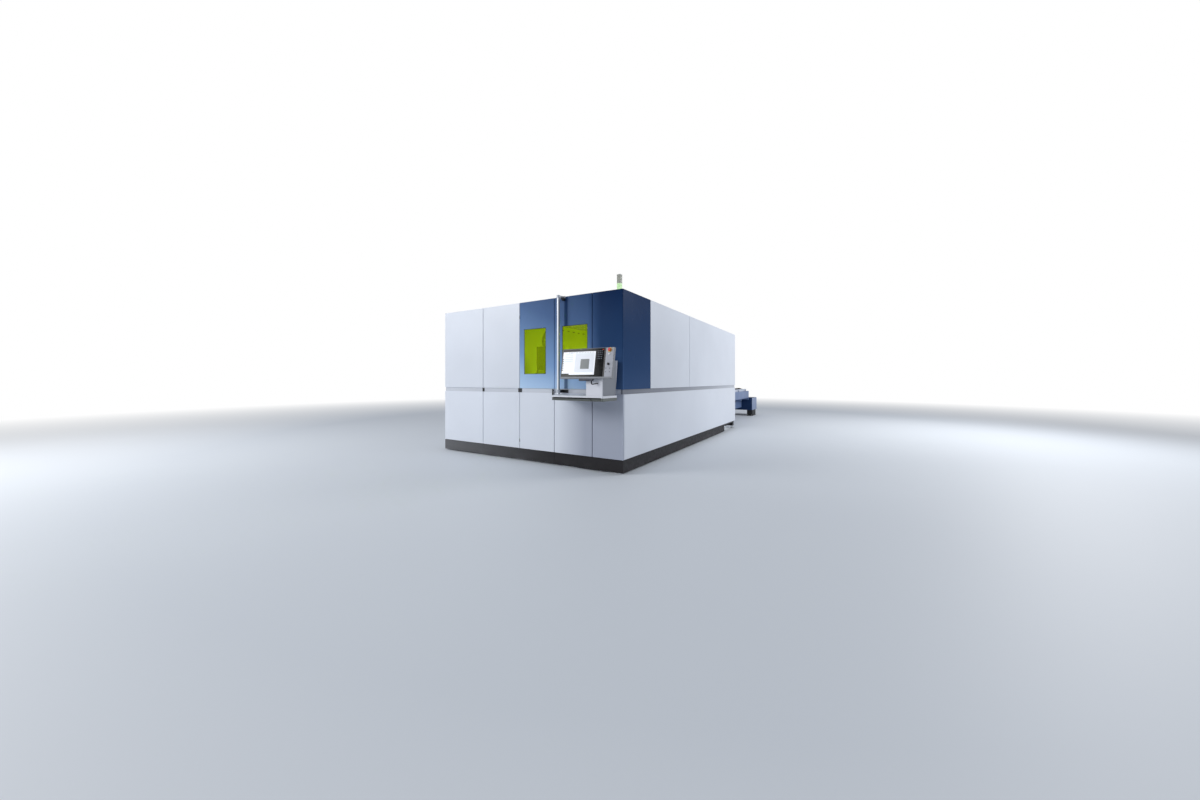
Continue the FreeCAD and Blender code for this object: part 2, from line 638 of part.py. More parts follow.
def rear_wall():
    """Folded panels round the pallet opening at the back."""
    near = "bed_middle - opening_half"
    far = "bed_middle + opening_half"
    tall = "cabin_height - plinth_height - half_gap"

    def rear_tray(label, x_from, x_to, low, height, hole=None):
        """The tray's face looks to +Y, so it starts at its end with the larger X."""
        width = f"({x_to}) - ({x_from}) - panel_gap"
        return put(tray(label, width, height, hole=hole), f"{x_to} - half_gap", "rear", low, 180)

    duct = (f"{near} - half_gap - (left + spigot_offset) - spigot_hole / 2",
            "spigot_height - lower_start - spigot_hole / 2", "spigot_hole", "spigot_hole")
    return [
        rear_tray("rear_left", "frame_left - half_gap", near, "lower_start", tall, duct),
        rear_tray("rear_right", far, "frame_right + half_gap", "lower_start", tall),
        rear_tray("rear_above", near, far, "opening_high", "cabin_height - opening_high"),
        rear_tray("rear_below", near, far, "lower_start", "opening_low - lower_start")]


def window_parts(prefix, left_x, wide):
    """The rubber gasket in a window opening and the filter glass that it holds."""
    body = new_body(f"{prefix}_gasket")

    def ring(sketch):
        rectangle(sketch, "0", "0", wide, "glass_tall")
        rectangle(sketch, "gasket_width", "gasket_width", f"{wide} - 2 * gasket_width",
                  "glass_tall - 2 * gasket_width")

    def seat(sketch):
        rectangle(sketch, "0", "0", wide, "glass_tall")
        rectangle(sketch, "gasket_width / 2", "gasket_width / 2", f"{wide} - gasket_width",
                  "glass_tall - gasket_width")

    pad(body, "XZ", "panel_sheet", ring)
    pad(body, "XZ", "glass_thickness", seat, "panel_sheet")
    gasket = put(body, left_x, "front", "window_low")
    glass = block(f"{prefix}_glass",
                  (f"{left_x} + gasket_width / 2", "front + panel_sheet",
                   "window_low + gasket_width / 2"),
                  f"{wide} - gasket_width", "glass_thickness", "glass_tall - gasket_width")
    return gasket, glass


def window_hole(seam, left_x, wide, low):
    return (f"{left_x} - ({seam}) - half_gap", f"window_low - {low}", wide, "glass_tall")


# ---- front door ----
def door_rail():
    """The rail behind the door's band, which joins its upper and lower skins."""
    wide = "door_width - panel_gap"
    body = new_body("door_rail")
    pad(body, "XZ", "panel_fold - door_clearance - band_recess",
        lambda sketch: rectangle(sketch, "0", "0", wide, "band_high - band_low"))
    return put(body, "seam_door + half_gap", "front + band_recess", "band_low")


HINGE_PLACES = ("lower_start + hinge_from_foot", "band_low + hinge_on_band",
                "cabin_height - hinge_from_top")


def hinges():
    """Lift-off hinges in the seam: the lower knuckle carries the pin, the upper one turns on it."""
    knuckle = "hinge_radius"
    pin = "hinge_pin"
    half = "hinge_half"
    leaf = "hinge_leaf"
    fixed = []
    moving = []
    for i, middle in enumerate(HINGE_PLACES):
        lower = f"{middle} - {half}"
        low = cylinder(f"hinge_low_{i}", ("seam_door", "hinge_y", lower), knuckle, half)
        spindle = cylinder(f"hinge_spindle_{i}", ("seam_door", "hinge_y", lower), pin,
                           f"2 * {half}")
        flap = block(f"hinge_flap_{i}", ("seam_door - half_gap", "hinge_y", lower), leaf,
                     "panel_fold - hinge_inset", half)
        web = block(f"hinge_web_{i}", ("seam_door - half_gap", "hinge_y", lower),
                    "half_gap", leaf, half)
        fixed.append(weld(f"hinge_fixed_{i}", [low, spindle, flap, web]))
        upper = f"{middle} + hinge_play"
        high = cylinder(f"hinge_high_{i}", ("seam_door", "hinge_y", upper), knuckle, half)
        flap = block(f"hinge_door_flap_{i}",
                     (f"seam_door + half_gap - {leaf}", "hinge_y", upper), leaf,
                     "panel_fold - door_clearance - hinge_inset", half)
        web = block(f"hinge_door_web_{i}", ("seam_door", "hinge_y", upper), "half_gap", leaf,
                    half)
        bore = cylinder(f"hinge_bore_{i}", ("seam_door", "hinge_y", f"{middle} - hinge_overlap"),
                        f"{pin} + bearing_gap", f"2 * {half}")
        moving.append(cut(f"hinge_moving_{i}", weld(f"hinge_door_{i}", [high, flap, web]), bore))
    tall = "band_high - band_low - 2 * hinge_inset"
    low = "band_low + hinge_inset"
    deep = "band_recess - door_clearance / 2"
    fixed.append(block("hinge_cap_fixed",
                       ("seam_door - half_gap - hinge_cap", "front + door_clearance / 2", low),
                       "hinge_cap", deep, tall))
    moving.append(block("hinge_cap_moving",
                        ("seam_door + half_gap", "front + door_clearance / 2", low),
                        "hinge_cap", deep, tall))
    return group("hinge_leaves_fixed", fixed), group("hinge_leaves_door", moving)


def door_handle():
    """A quarter-turn swing handle near the door's free edge, its lever hanging down."""
    x = "seam_window - half_gap - handle_inset"
    body = new_body("door_handle")

    def lever(sketch):
        foot = "-lever_fall - lever_tail"
        head = "lever_rise + lever_head"
        outline(sketch, [("-lever_half", "lever_rise"), ("-lever_half", "-lever_fall"),
                         ("-lever_nose", foot), ("lever_nose", foot),
                         ("lever_half", "-lever_fall"), ("lever_half", "lever_rise"),
                         ("lever_nose", head), ("-lever_nose", head)])

    pad(body, "XZ", "handle_lever", lever)
    pad(body, "XZ", "handle_stand_off + door_clearance",
        lambda sketch: circle(sketch, "0", "0", "handle_boss"), "handle_lever")
    chamfer_edges(body, "door_clearance", lambda middle, along: abs(middle.y) < 0.1)
    return put(body, x, "front - handle_stand_off", "band_high - handle_drop")


# ---- gantry ----
def bed_frame():
    """Two tall side plates with openings and the cross members between them."""
    long = "bed_end - bed_start"
    tall = "bed_height - plinth_height"
    members = []
    for i, x in enumerate(["bed_middle - bed_half", "bed_middle + bed_half - bed_beam_width"]):
        body = new_body(f"bed_beam_{i}")
        pad(body, "YZ", "bed_beam_width",
            lambda sketch: outline(sketch, [("0", "0"), (long, "0"), (long, tall), ("0", tall)]))
        hole = pocket(body, "YZ", "bed_beam_width",
                      lambda sketch: rectangle(sketch, "bed_hole_first", "bed_hole_low",
                                               "bed_hole_width", "bed_hole_tall"))
        repeat(body, hole, "Y", f"bed_hole_pitch * {BED_HOLES - 1}", BED_HOLES)
        members.append(put(body, x, "front + bed_start", "plinth_height"))
    for i in range(BED_CROSSES):
        y = f"front + bed_start + bed_cross_first + bed_cross_pitch * {i}"
        members.append(block(f"bed_cross_{i}",
                             ("bed_middle - bed_half + bed_beam_width", y, "plinth_height"),
                             "2 * (bed_half - bed_beam_width)", "cross_tube * 2", "cross_tube"))
    return weld("bed_frame", members)


def guide_rails():
    """Long rails on the bed and the gear racks beside them."""
    rails = []
    long = "bed_end - bed_start - 2 * rail_end"
    for i, x in enumerate(["bed_middle - bed_half + bed_beam_width / 2",
                           "bed_middle + bed_half - bed_beam_width / 2"]):
        rails.append(block(f"long_rail_{i}", (f"{x} - rail_size / 2", "front + bed_start + rail_end",
                                              "bed_height"), "rail_size", long, "rail_size"))
        rails.append(block(f"long_rack_{i}", (f"{x} + rail_size", "front + bed_start + rail_end",
                                              "bed_height"), "rail_size * 0.8", long,
                           "rail_size * 0.7"))
    return group("guide_rails", rails)


def gantry_beam():
    """A box beam across the bed, on two tapered end feet, with the carriage's rails in front."""
    body = new_body("gantry_box")
    pad(body, "YZ", "2 * bed_half",
        lambda sketch: rectangle(sketch, "0", "0", "gantry_depth", "gantry_tall"))
    round_edges(body, "18", lambda middle, along: abs(along.x) > 0.9)
    pocket(body, "YZ", "2 * bed_half - 2 * gantry_wall",
           lambda sketch: rectangle(sketch, "gantry_wall", "gantry_wall",
                                    "gantry_depth - 2 * gantry_wall",
                                    "gantry_tall - 2 * gantry_wall"), "gantry_wall")
    put(body, "bed_middle - bed_half", "gantry_front", "gantry_low")
    members = [body]
    gap = "gantry_low - rail_top"
    for i, x in enumerate(["bed_middle - bed_half", "bed_middle + bed_half - bed_beam_width"]):
        foot = new_body(f"gantry_foot_{i}")
        pad(foot, "YZ", "bed_beam_width",
            lambda sketch: outline(sketch, [
                ("-foot_toe", "arm_gap"), ("gantry_depth + foot_heel", "arm_gap"),
                ("gantry_depth + foot_heel", "foot_slope"), ("gantry_depth", gap), ("0", gap),
                ("-foot_toe / 4", "foot_slope * 1.5"), ("-foot_toe", "foot_slope")]))
        members.append(put(foot, x, "gantry_front", "rail_top"))
    for i, z in enumerate(["gantry_low + cross_rail_edge",
                           "gantry_high - cross_rail_edge - cross_rail"]):
        members.append(block(f"carriage_rail_{i}", ("bed_middle - bed_half + rail_end",
                                                    "gantry_front - cross_rail_depth", z),
                             "2 * bed_half - 2 * rail_end", "cross_rail_depth", "cross_rail"))
    return weld("gantry_beam", members)


def carriage():
    """The plate that runs along the gantry, its bearing blocks and the chain's driver."""

    def jaws(sketch):
        floor = "carriage_gap - carriage_plate - cross_rail_depth - rail_clearance"
        reach = "carriage_gap - carriage_plate - bearing_stand_off"
        top = "cross_rail + bearing_jaw"
        outline(sketch, [("0", "-bearing_jaw"), (reach, "-bearing_jaw"),
                         (reach, "-rail_clearance"), (floor, "-rail_clearance"),
                         (floor, "cross_rail + rail_clearance"),
                         (reach, "cross_rail + rail_clearance"), (reach, top), ("0", top)])

    members = [block("carriage_plate", ("head_x - carriage_width / 2", "carriage_y", "plate_low"),
                     "carriage_width", "carriage_plate", "carriage_height")]
    for i, z in enumerate(["gantry_low + cross_rail_edge",
                           "gantry_high - cross_rail_edge - cross_rail"]):
        for j, x in enumerate(["head_x - carriage_width / 2 + bearing_edge",
                               "head_x + carriage_width / 2 - bearing_edge - bearing_length"]):
            body = new_body(f"bearing_{i}_{j}")
            pad(body, "YZ", "bearing_length", jaws)
            members.append(put(body, x, "carriage_y + carriage_plate", z))
    post_low = "plate_low + carriage_height"
    driver_x = "head_x + carriage_width / 2 - driver_width"
    members.append(block("driver_post", (driver_x, "carriage_y", post_low), "driver_width",
                         "carriage_plate", f"chain_top + arm_gap + arm_thickness - ({post_low})"))
    members.append(block("driver_arm", (driver_x, "carriage_y + carriage_plate",
                                        "chain_top + arm_gap"), "driver_width",
                         "gantry_depth / 2 + link_width / 2 + carriage_gap - carriage_plate",
                         "arm_thickness"))
    return weld("carriage_body", members)


def drive_cover():
    """The dark cover of the head's upright drive, open below for the ram."""
    body = new_body("drive_cover")
    tall = "drive_high - drive_low"
    half = "drive_width / 2"
    pad(body, "XY", tall, lambda sketch: outline(
        sketch, [(f"-{half}", "0"), (f"-{half} + drive_taper", "-drive_depth"),
                 (f"{half} - drive_taper", "-drive_depth"), (half, "0")]))
    pocket(body, "XY", f"{tall} - drive_lid", lambda sketch: rectangle(
        sketch, "-ram_size / 2 - ram_clearance", "-drive_depth / 2 - ram_size / 2 - ram_clearance",
        "ram_size + 2 * ram_clearance", "ram_size + 2 * ram_clearance"))
    return put(body, "head_x", "carriage_y", "drive_low")


def head_ram():
    """The square ram that carries the head up and down."""
    return block("head_ram", ("head_x - ram_size / 2", "head_y - ram_size / 2", "drive_low - ram_show"),
                 "ram_size", "ram_size", "drive_high - drive_low - ram_show")


def cutting_head():
    """The turned head: collimator, lens drawer, height sensor and nozzle."""
    body = new_body("cutting_head")
    sketch = sketch_on(body, "XZ")
    top = "drive_low - ram_show - nozzle_height"
    outline(sketch, [("0", "0"), ("nozzle_tip", "0"), ("nozzle_radius", "nozzle_taper"),
                     ("nozzle_radius", "nozzle_tall"), ("head_radius", "head_cone"),
                     ("head_radius", "head_waist"), ("drum_radius", "head_waist"),
                     ("drum_radius", top), ("0", top)])
    turned = body.newObject("PartDesign::Revolution", "cutting_head_turned")
    turned.Profile = sketch
    turned.ReferenceAxis = (sketch, ["V_Axis"])
    return put(body, "head_x", "head_y", "nozzle_height")


def chain_link(half_mid, half_inner):
    """A link: two side plates, narrower towards the bend's inside, joined by two cross bars."""
    half_height = size["link_height"] / 2
    wall = size["link_wall"]
    across = size["link_width"]
    bar = size["link_bar"]
    shoulder = half_height - size["link_taper"]
    corners = [Vector(-half_inner, 0, -half_height), Vector(half_inner, 0, -half_height),
               Vector(half_mid, 0, 0), Vector(half_mid, 0, shoulder),
               Vector(bar / 2, 0, half_height), Vector(-bar / 2, 0, half_height),
               Vector(-half_mid, 0, shoulder), Vector(-half_mid, 0, 0)]
    plate = Part.Face(Part.makePolygon(corners + corners[:1])).extrude(Vector(0, wall, 0))
    link = plate.fuse(plate.translated(Vector(0, across - wall, 0)))
    for z in (-half_height, half_height - wall):
        link = link.fuse(Part.makeBox(bar, across, wall, Vector(-bar / 2, 0, z)))
    return link.removeSplitter()


def energy_chain():
    """Links along a run on the beam, round the bend and back over it to the carriage's driver."""
    gap = size["link_gap"]
    radius = size["chain_radius"]
    half_height = size["link_height"] / 2
    bend_count = round(math.pi * radius / size["chain_pitch"])
    bend_pitch = math.pi / bend_count
    half_mid = radius * math.tan(bend_pitch / 2) - gap / 2
    half_inner = (radius - half_height) * math.tan(bend_pitch / 2) - gap / 2
    run_pitch = 2 * half_mid + gap
    low_z = place["gantry_high"] + size["chain_rest"] + half_height
    bend_x = place["head_x"] + size["driver_offset"]
    start_y = place["gantry_front"] + size["gantry_depth"] / 2 - size["link_width"] / 2
    link = chain_link(half_mid, half_inner)

    def laid(x, z, turn):
        copy = link.copy()
        copy.Placement = Placement(Vector(x, start_y, z), Rotation(Vector(0, 1, 0), turn))
        return copy

    links = [laid(bend_x + run_pitch * (i + 0.5), low_z, 180) for i in range(RUN_LINKS)]
    for i in range(bend_count):
        angle = bend_pitch * (i + 0.5)
        links.append(laid(bend_x - radius * math.sin(angle),
                          low_z + radius * (1 - math.cos(angle)), 180 + math.degrees(angle)))
    for i in range(DRIVER_LINKS):
        links.append(laid(bend_x + run_pitch * (i + 0.5), low_z + 2 * radius, 0))
    chain = doc.addObject("Part::Feature", "energy_chain")
    chain.Shape = Part.makeCompound(links)
    return chain


# ---- pallets ----
def pallet_frame(label, start, track):
    """A ladder of square tube: two side beams and the cross tubes that carry the slats."""
    half = "pallet_width / 2"
    low = f"{track} - pallet_drop"
    members = []
    for i, x in enumerate([f"bed_middle - {half}", f"bed_middle + {half} - pallet_tube"]):
        members.append(block(f"{label}_side_{i}", (x, f"front + {start}", low), "pallet_tube",
                             "pallet_length", "pallet_beam_height"))
    for i, share in enumerate((0, 0.25, 0.5, 0.75, 1)):
        members.append(block(f"{label}_cross_{i}",
                             (f"bed_middle - {half} + pallet_tube",
                              f"front + {start} + (pallet_length - pallet_tube) * {share}", low),
                             "pallet_width - 2 * pallet_tube", "pallet_tube",
                             "pallet_cross_height"))
    return weld(label, members)


def pallet_wheels(label, start, track):
    """Flangeless rollers on both sides of the pallet, running on the tracks."""
    wheels = []
    for i, side in enumerate((-1, 1)):
        for j, share in enumerate((0.04, 0.35, 0.65, 0.96)):
            wheel = bind(doc.addObject("Part::Cylinder", f"{label}_{i}_{j}"),
                         Radius="wheel_radius", Height="wheel_width")
            wheel.Placement = Placement(Vector(), Rotation(Vector(0, 1, 0), 90))
            edge = f"bed_middle + {side} * (pallet_width / 2)"
            x = edge if side > 0 else f"{edge} - wheel_width"
            for letter, text in zip("xyz", (x, f"front + {start} + pallet_length * {share}",
                                            f"{track} + wheel_gap + wheel_radius")):
                wheel.setExpression("Placement.Base." + letter, formula(text))
            wheels.append(wheel)
    return wheels


def slats(label, start, track):
    """Upright slats with a toothed upper edge, on the cross tubes and between the side beams."""
    wide = size["pallet_width"] - 2 * size["pallet_tube"]
    pitch = size["tooth_pitch"]
    teeth = int(wide / pitch)
    margin = (wide - teeth * pitch) / 2
    tip = place["slat_tall"]
    root = tip - size["tooth_depth"]
    points = [Vector(0, 0, 0), Vector(wide, 0, 0), Vector(wide, 0, root)]
    for i in range(teeth, 0, -1):
        x = margin + i * pitch
        points.append(Vector(x, 0, root))
        points.append(Vector(x - pitch / 2, 0, tip))
    points.append(Vector(margin, 0, root))
    points.append(Vector(0, 0, root))
    face = Part.Face(Part.makePolygon(points + points[:1]))
    slat = face.extrude(Vector(0, size["slat_thickness"], 0))
    near = size["slat_first"]
    far = size["pallet_length"] - size["pallet_tail"]
    count = int((far - near) / size["slat_pitch"]) + 1
    first = place["front"] + size[start] + near
    left_x = place["bed_middle"] - wide / 2
    low = size[track] + place["slat_seat"]
    row = doc.addObject("Part::Feature", label)
    row.Shape = Part.makeCompound([
        slat.translated(Vector(left_x, first + i * size["slat_pitch"], low))
        for i in range(count)])
    return row


# ---- tracks and changer ----
def track(label, start, end):
    """A pair of channels: the upper pallet runs on the top flange, the lower one inside."""
    channels = []
    lower_top = "lower_track - track_low"
    tall = "upper_track - track_low"
    reach = "track_web + wheel_zone - track_play"
    section = [("0", "0"), (reach, "0"), (reach, lower_top), ("track_web", lower_top),
               ("track_web", f"{tall} - track_flange"), (reach, f"{tall} - track_flange"),
               (reach, tall), ("0", tall)]
    for i, side in enumerate((1, -1)):
        body = new_body(f"{label}_channel_{i}")
        long = f"({end}) - ({start})"
        points = [(f"{side} * ({u})", w) for u, w in section]
        pad(body, "XZ", long, lambda sketch, points=points: outline(sketch, points))
        channels.append(put(body, f"bed_middle - {side} * track_half", f"front + {start}",
                            "track_low"))
    return channels


def changer_frame():
    """The two channels of the changer, the cross tubes under them and the side beams below."""
    members = track("changer", "changer_start", "end_unit_start")
    last = "(end_unit_start - cross_tube)"
    for i, share in enumerate((0, 0.33, 0.67, 1)):
        y = f"front + first_cross + ({last} - first_cross) * {share}"
        members.append(block(f"changer_cross_{i}", ("bed_middle - track_half", y,
                                                    "track_low - cross_tube"),
                             "2 * track_half", "cross_tube", "cross_tube"))
    for i, x in enumerate(["bed_middle - track_half + lower_beam_inset",
                           "bed_middle + track_half - lower_beam_inset - lower_beam_width"]):
        members.append(block(f"changer_beam_{i}", (x, "rear", "lower_beam_low"),
                             "lower_beam_width", "end_unit_start - cabin_length",
                             "track_low - lower_beam_low"))
    return weld("changer_frame", members)


def end_unit():
    """The cross box at the far end, which holds the chain drive, its far top edge sloping."""
    body = new_body("changer_end_unit")
    deep = "changer_reach - end_unit_start"
    tall = "track_low - end_unit_low"
    pad(body, "YZ", "2 * (track_half + end_unit_overhang)", lambda sketch: outline(
        sketch, [("0", "0"), (deep, "0"), (deep, f"{tall} - end_unit_slope"),
                 (f"{deep} - end_unit_slope", tall), ("0", tall)]))
    return put(body, "bed_middle - track_half - end_unit_overhang", "front + end_unit_start",
               "end_unit_low")


def anchored_plate(label, wide, long, across, along):
    """A floor plate with its middle at the origin and an anchor hole near each corner."""
    body = new_body(label)
    pad(body, "XY", "foot_plate_thickness", lambda sketch: rectangle(
        sketch, f"-{wide} / 2", f"-{long} / 2", wide, long))

    def holes(sketch):
        for sign_x in (-1, 1):
            for sign_y in (-1, 1):
                circle(sketch, f"{sign_x} * ({across}) / 2", f"{sign_y} * ({along}) / 2",
                       "anchor_radius")

    pocket(body, "XY", "foot_plate_thickness", holes)
    return body


def changer_legs():
    """Dark legs on anchored plates: slim ones under the channels, broad ones under the end box."""
    legs = []
    base = "foot_plate_thickness"
    for i, x in enumerate(["bed_middle - track_half - leg_outset",
                           "bed_middle + track_half + leg_outset - leg_size"]):
        y = "front + first_cross + cross_tube"
        column = block(f"leg_column_{i}", (x, y, base), "leg_size", "leg_size",
                       f"track_low - {base}")
        plate = anchored_plate(f"leg_plate_{i}", "foot_plate", "foot_plate", "anchor_spacing",
                               "anchor_spacing")
        put(plate, f"{x} + leg_size / 2", f"{y} + leg_size / 2")
        legs.append(weld(f"leg_{i}", [column, plate]))
    outer = "track_half + end_unit_overhang"
    for i, x in enumerate([f"bed_middle - ({outer})",
                           f"bed_middle + {outer} - unit_foot_width"]):
        y = "front + end_unit_start"
        column = block(f"unit_column_{i}", (x, f"{y} + unit_foot_toe", base), "unit_foot_width",
                       "unit_foot_length - 2 * unit_foot_toe", f"end_unit_low - {base}")
        plate = anchored_plate(f"unit_plate_{i}", "unit_foot_width", "unit_foot_length",
                               "unit_foot_width - 2 * anchor_radius - 2 * anchor_edge",
                               "unit_foot_length - unit_foot_toe")
        put(plate, f"{x} + unit_foot_width / 2", f"{y} + unit_foot_length / 2")
        legs.append(weld(f"unit_leg_{i}", [column, plate]))
    return group("changer_legs", legs)


def rear_gate():
    """The lifting gate of the pallet opening, raised, with four pressed fields behind."""
    wide = "2 * opening_half + 2 * gate_margin"
    tall = "opening_high - opening_low + 2 * gate_margin"
    field = f"(({wide}) - 5 * gate_border) / 4"
    body = new_body("rear_gate")
    pad(body, "XZ", "gate_thickness", lambda sketch: rectangle(sketch, "0", "0", wide, tall))
    pressed = pocket(body, "XZ", "gate_thickness - panel_sheet",
                     lambda sketch: rectangle(sketch, "gate_border", "gate_border", field,
                                              f"{tall} - 2 * gate_border"), "0")
    repeat(body, pressed, "X", f"3 * ({field} + gate_border)", 4)
    return put(body, "bed_middle - opening_half - gate_margin", "gate_front",
               "opening_low - gate_margin + gate_lift")


def gate_guides():
    """Upright guides on the opening's posts, with a lip in front of the gate."""
    guides = []
    tall = "opening_high + gate_lift + guide_over - opening_low + gate_margin"
    deep = "frame_rear - frame_tube - rear_inner"
    points = [("0", "0"), ("gate_guide", "0"), ("gate_guide", "guide_sheet"),
              ("guide_web", "guide_sheet"), ("guide_web", deep), ("0", deep)]
    for i, side in enumerate((1, -1)):
        body = new_body(f"gate_guide_{i}")
        signed = [(f"{side} * ({u})", w) for u, w in points]
        pad(body, "XY", tall, lambda sketch, signed=signed: outline(sketch, signed))
        guides.append(put(body, f"bed_middle - {side} * (opening_half + gate_guide)",
                          "rear_inner", "opening_low - gate_margin"))
    return guides


# ---- console ----
def swing_post():
    """The silver tube that turns in its two brackets and carries the shelf."""
    tube = cylinder("post_outer", ("post_x", "post_y", "shelf_top"), "post_radius",
                    "post_top - shelf_top")
    bore = cylinder("post_bore", ("post_x", "post_y", "shelf_top + post_wall"),
                    "post_radius - post_wall", "post_top - shelf_top")
    return cut("swing_post", tube, bore)


def post_bracket(label, low, tall, plate_front, plate_wide):
    """A plate on the cabin with an arm and a bored ring round the post."""
    plate = block(f"{label}_plate", (f"post_x - {plate_wide} / 2", plate_front, low),
                  plate_wide, "plate_sheet", tall)
    arm = block(f"{label}_arm", ("post_x - bracket_arm / 2", "post_y", low), "bracket_arm",
                f"{plate_front} - post_y", tall)
    ring = cylinder(f"{label}_ring", ("post_x", "post_y", low), "post_radius + bracket_ring",
                    tall)
    bore = cylinder(f"{label}_bore", ("post_x", "post_y", low), "post_radius + bearing_gap", tall)
    return cut(label, weld(f"{label}_body", [plate, arm, ring]), bore)


def console_shelf():
    """The hollow shelf on the post's foot: top plate with a tongue, sides, back and runners."""
    across = "shelf_width"
    deep = "shelf_front - shelf_back"
    tongue = "post_x - shelf_left_x"
    post_v = "post_y - shelf_front_y"
    body = new_body("console_shelf")

    def plate(sketch):
        outline(sketch, [("0", "0"), (across, "0"), (across, deep), ("0", deep),
                         (f"{tongue} + 8", f"{post_v} + post_radius + 9"),
                         (f"{tongue} - 22", f"{post_v} + post_radius + 6"),
                         (f"{tongue} - 34", f"{post_v} + 8"), (f"{tongue} - 34", f"{post_v} - 14"),
                         (f"{tongue} - 16", f"{post_v} - 34")])

    def walls(sketch):
        outline(sketch, [("0", "0"), ("shelf_side", "0"), ("shelf_side", f"{deep} - shelf_side"),
                         (f"{across} - shelf_side", f"{deep} - shelf_side"),
                         (f"{across} - shelf_side", "0"), (across, "0"), (across, deep),
                         ("0", deep)])

    tall = "shelf_top - shelf_low"
    pad(body, "XY", "shelf_plate", plate, f"{tall} - shelf_plate")
    pad(body, "XY", f"{tall} - shelf_plate", walls)
    round_edges(body, "shelf_round", lambda middle, along: abs(along.z) > 0.9 and middle.y < 1
                and middle.x > size["shelf_width"] - 1)
    return put(body, "shelf_left_x", "shelf_front_y", "shelf_low")


def keyboard_drawer():
    """A shallow drawer whose front is the lower lip of the shelf."""
    wide = "shelf_width - 2 * shelf_side - 2 * drawer_gap"
    deep = "shelf_front - shelf_back - shelf_side - 2 * drawer_gap"
    tall = "drawer_top - shelf_low"
    body = new_body("keyboard_drawer")
    pad(body, "XY", tall, lambda sketch: rectangle(sketch, "0", "0", wide, deep))
    pocket(body, "XY", f"{tall} - drawer_floor", lambda sketch: rectangle(
        sketch, "drawer_wall", "drawer_lip", f"{wide} - 2 * drawer_wall",
        f"{deep} - drawer_lip - drawer_wall"), "drawer_floor")
    return put(body, "shelf_left_x + shelf_side + drawer_gap", "shelf_front_y", "shelf_low")


def keyboard():
    """A low keyboard with a sloping deck and blocks of keys."""
    body = new_body("keyboard")
    pad(body, "YZ", "keyboard_width", lambda sketch: outline(
        sketch, [("0", "0"), ("keyboard_depth", "0"), ("keyboard_depth", "keyboard_back"),
                 ("0", "keyboard_lip")]))
    last = "key_first + key_foot"
    rows = pad(body, "YZ", "keyboard_width - 2 * key_margin", lambda sketch: outline(
        sketch, [("key_first", "keyboard_lip"), (last, "keyboard_lip"),
                 (f"{last} - key_draft", "keyboard_lip + key_rear"),
                 ("key_first + key_draft", "keyboard_lip + key_front")]), "key_margin")
    repeat(body, rows, "Y", f"key_pitch * {KEY_ROWS - 1}", KEY_ROWS)
    return put(body, "shelf_left_x + keyboard_from_left", "shelf_front_y + keyboard_from_front",
               "shelf_low + drawer_floor")


def pedestal():
    """The console's box, upright below and leaning back beside the monitor."""
    deep = "pedestal_front - pedestal_back"
    low_tall = "pedestal_bend - shelf_top"
    tall = "pedestal_top - shelf_top"
    lean = f"({tall} - ({low_tall})) * tan(monitor_tilt)"
    body = new_body("pedestal")
    pad(body, "YZ", "pedestal_width", lambda sketch: outline(
        sketch, [("0", "0"), (deep, "0"), (f"{deep} + pedestal_spread", tall), (lean, tall),
                 ("0", low_tall)]))
    round_edges(body, "pedestal_round", lambda middle, along: abs(along.x) < 0.1
                and middle.y < 70 and (middle.x < 1 or middle.x > size["pedestal_width"] - 1))
    return put(body, "pedestal_left_x", "front - pedestal_front", "shelf_top")


def tilted(thing, u, v, w):
    """Stand a thing in the monitor's own leaning frame: u to the right, v back, w up."""
    turn = Rotation(Vector(1, 0, 0), -1)
    thing.Placement = Placement(Vector(), turn)
    thing.setExpression("Placement.Rotation.Angle", formula("-monitor_tilt"))
    lean_y = f"monitor_y + ({v}) * cos(monitor_tilt) + ({w}) * sin(monitor_tilt)"
    lean_z = f"monitor_middle - ({v}) * sin(monitor_tilt) + ({w}) * cos(monitor_tilt)"
    for letter, text in zip("xyz", (f"monitor_x + ({u})", lean_y, lean_z)):
        thing.setExpression("Placement.Base." + letter, formula(text))
    return thing


def monitor_housing():
    """The monitor's back shell: a front recess for glass and strip, wells behind the buttons."""
    body = new_body("monitor_shell")
    pad(body, "XZ", "monitor_depth", lambda sketch: rectangle(
        sketch, "0", "0", "monitor_width", "monitor_tall"))
    chamfer_edges(body, "monitor_chamfer", lambda middle, along: middle.y > size["monitor_depth"] - 1)
    pocket(body, "XZ", "screen_thickness", lambda sketch: rectangle(
        sketch, "screen_margin", "screen_chin", "monitor_width - 2 * screen_margin",
        "monitor_tall - screen_chin - screen_margin"))

    def wells(sketch):
        for name in ("stop", "start"):
            circle(sketch, f"{name}_u + monitor_width / 2", f"{name}_w + monitor_tall / 2",
                   "button_hole")

    pocket(body, "XZ", "button_well", wells, "screen_thickness")
    return tilted(body, "-monitor_width / 2", "0", "-monitor_tall / 2")


def monitor_knuckle():
    """The bored knuckle on the monitor's back that turns on the mount's spindle."""
    body = new_body("monitor_knuckle")

    def section(sketch):
        rectangle(sketch, "monitor_depth", "-knuckle_radius", "spindle_v - monitor_depth",
                  "2 * knuckle_radius")

    pad(body, "YZ", "knuckle_width", section)
    pad(body, "YZ", "knuckle_width",
        lambda sketch: circle(sketch, "spindle_v", "0", "knuckle_radius"))
    pocket(body, "YZ", "knuckle_width",
           lambda sketch: circle(sketch, "spindle_v", "0", "spindle_radius + bearing_gap"))
    return tilted(body, "mount_u - knuckle_width / 2", "0", "0")


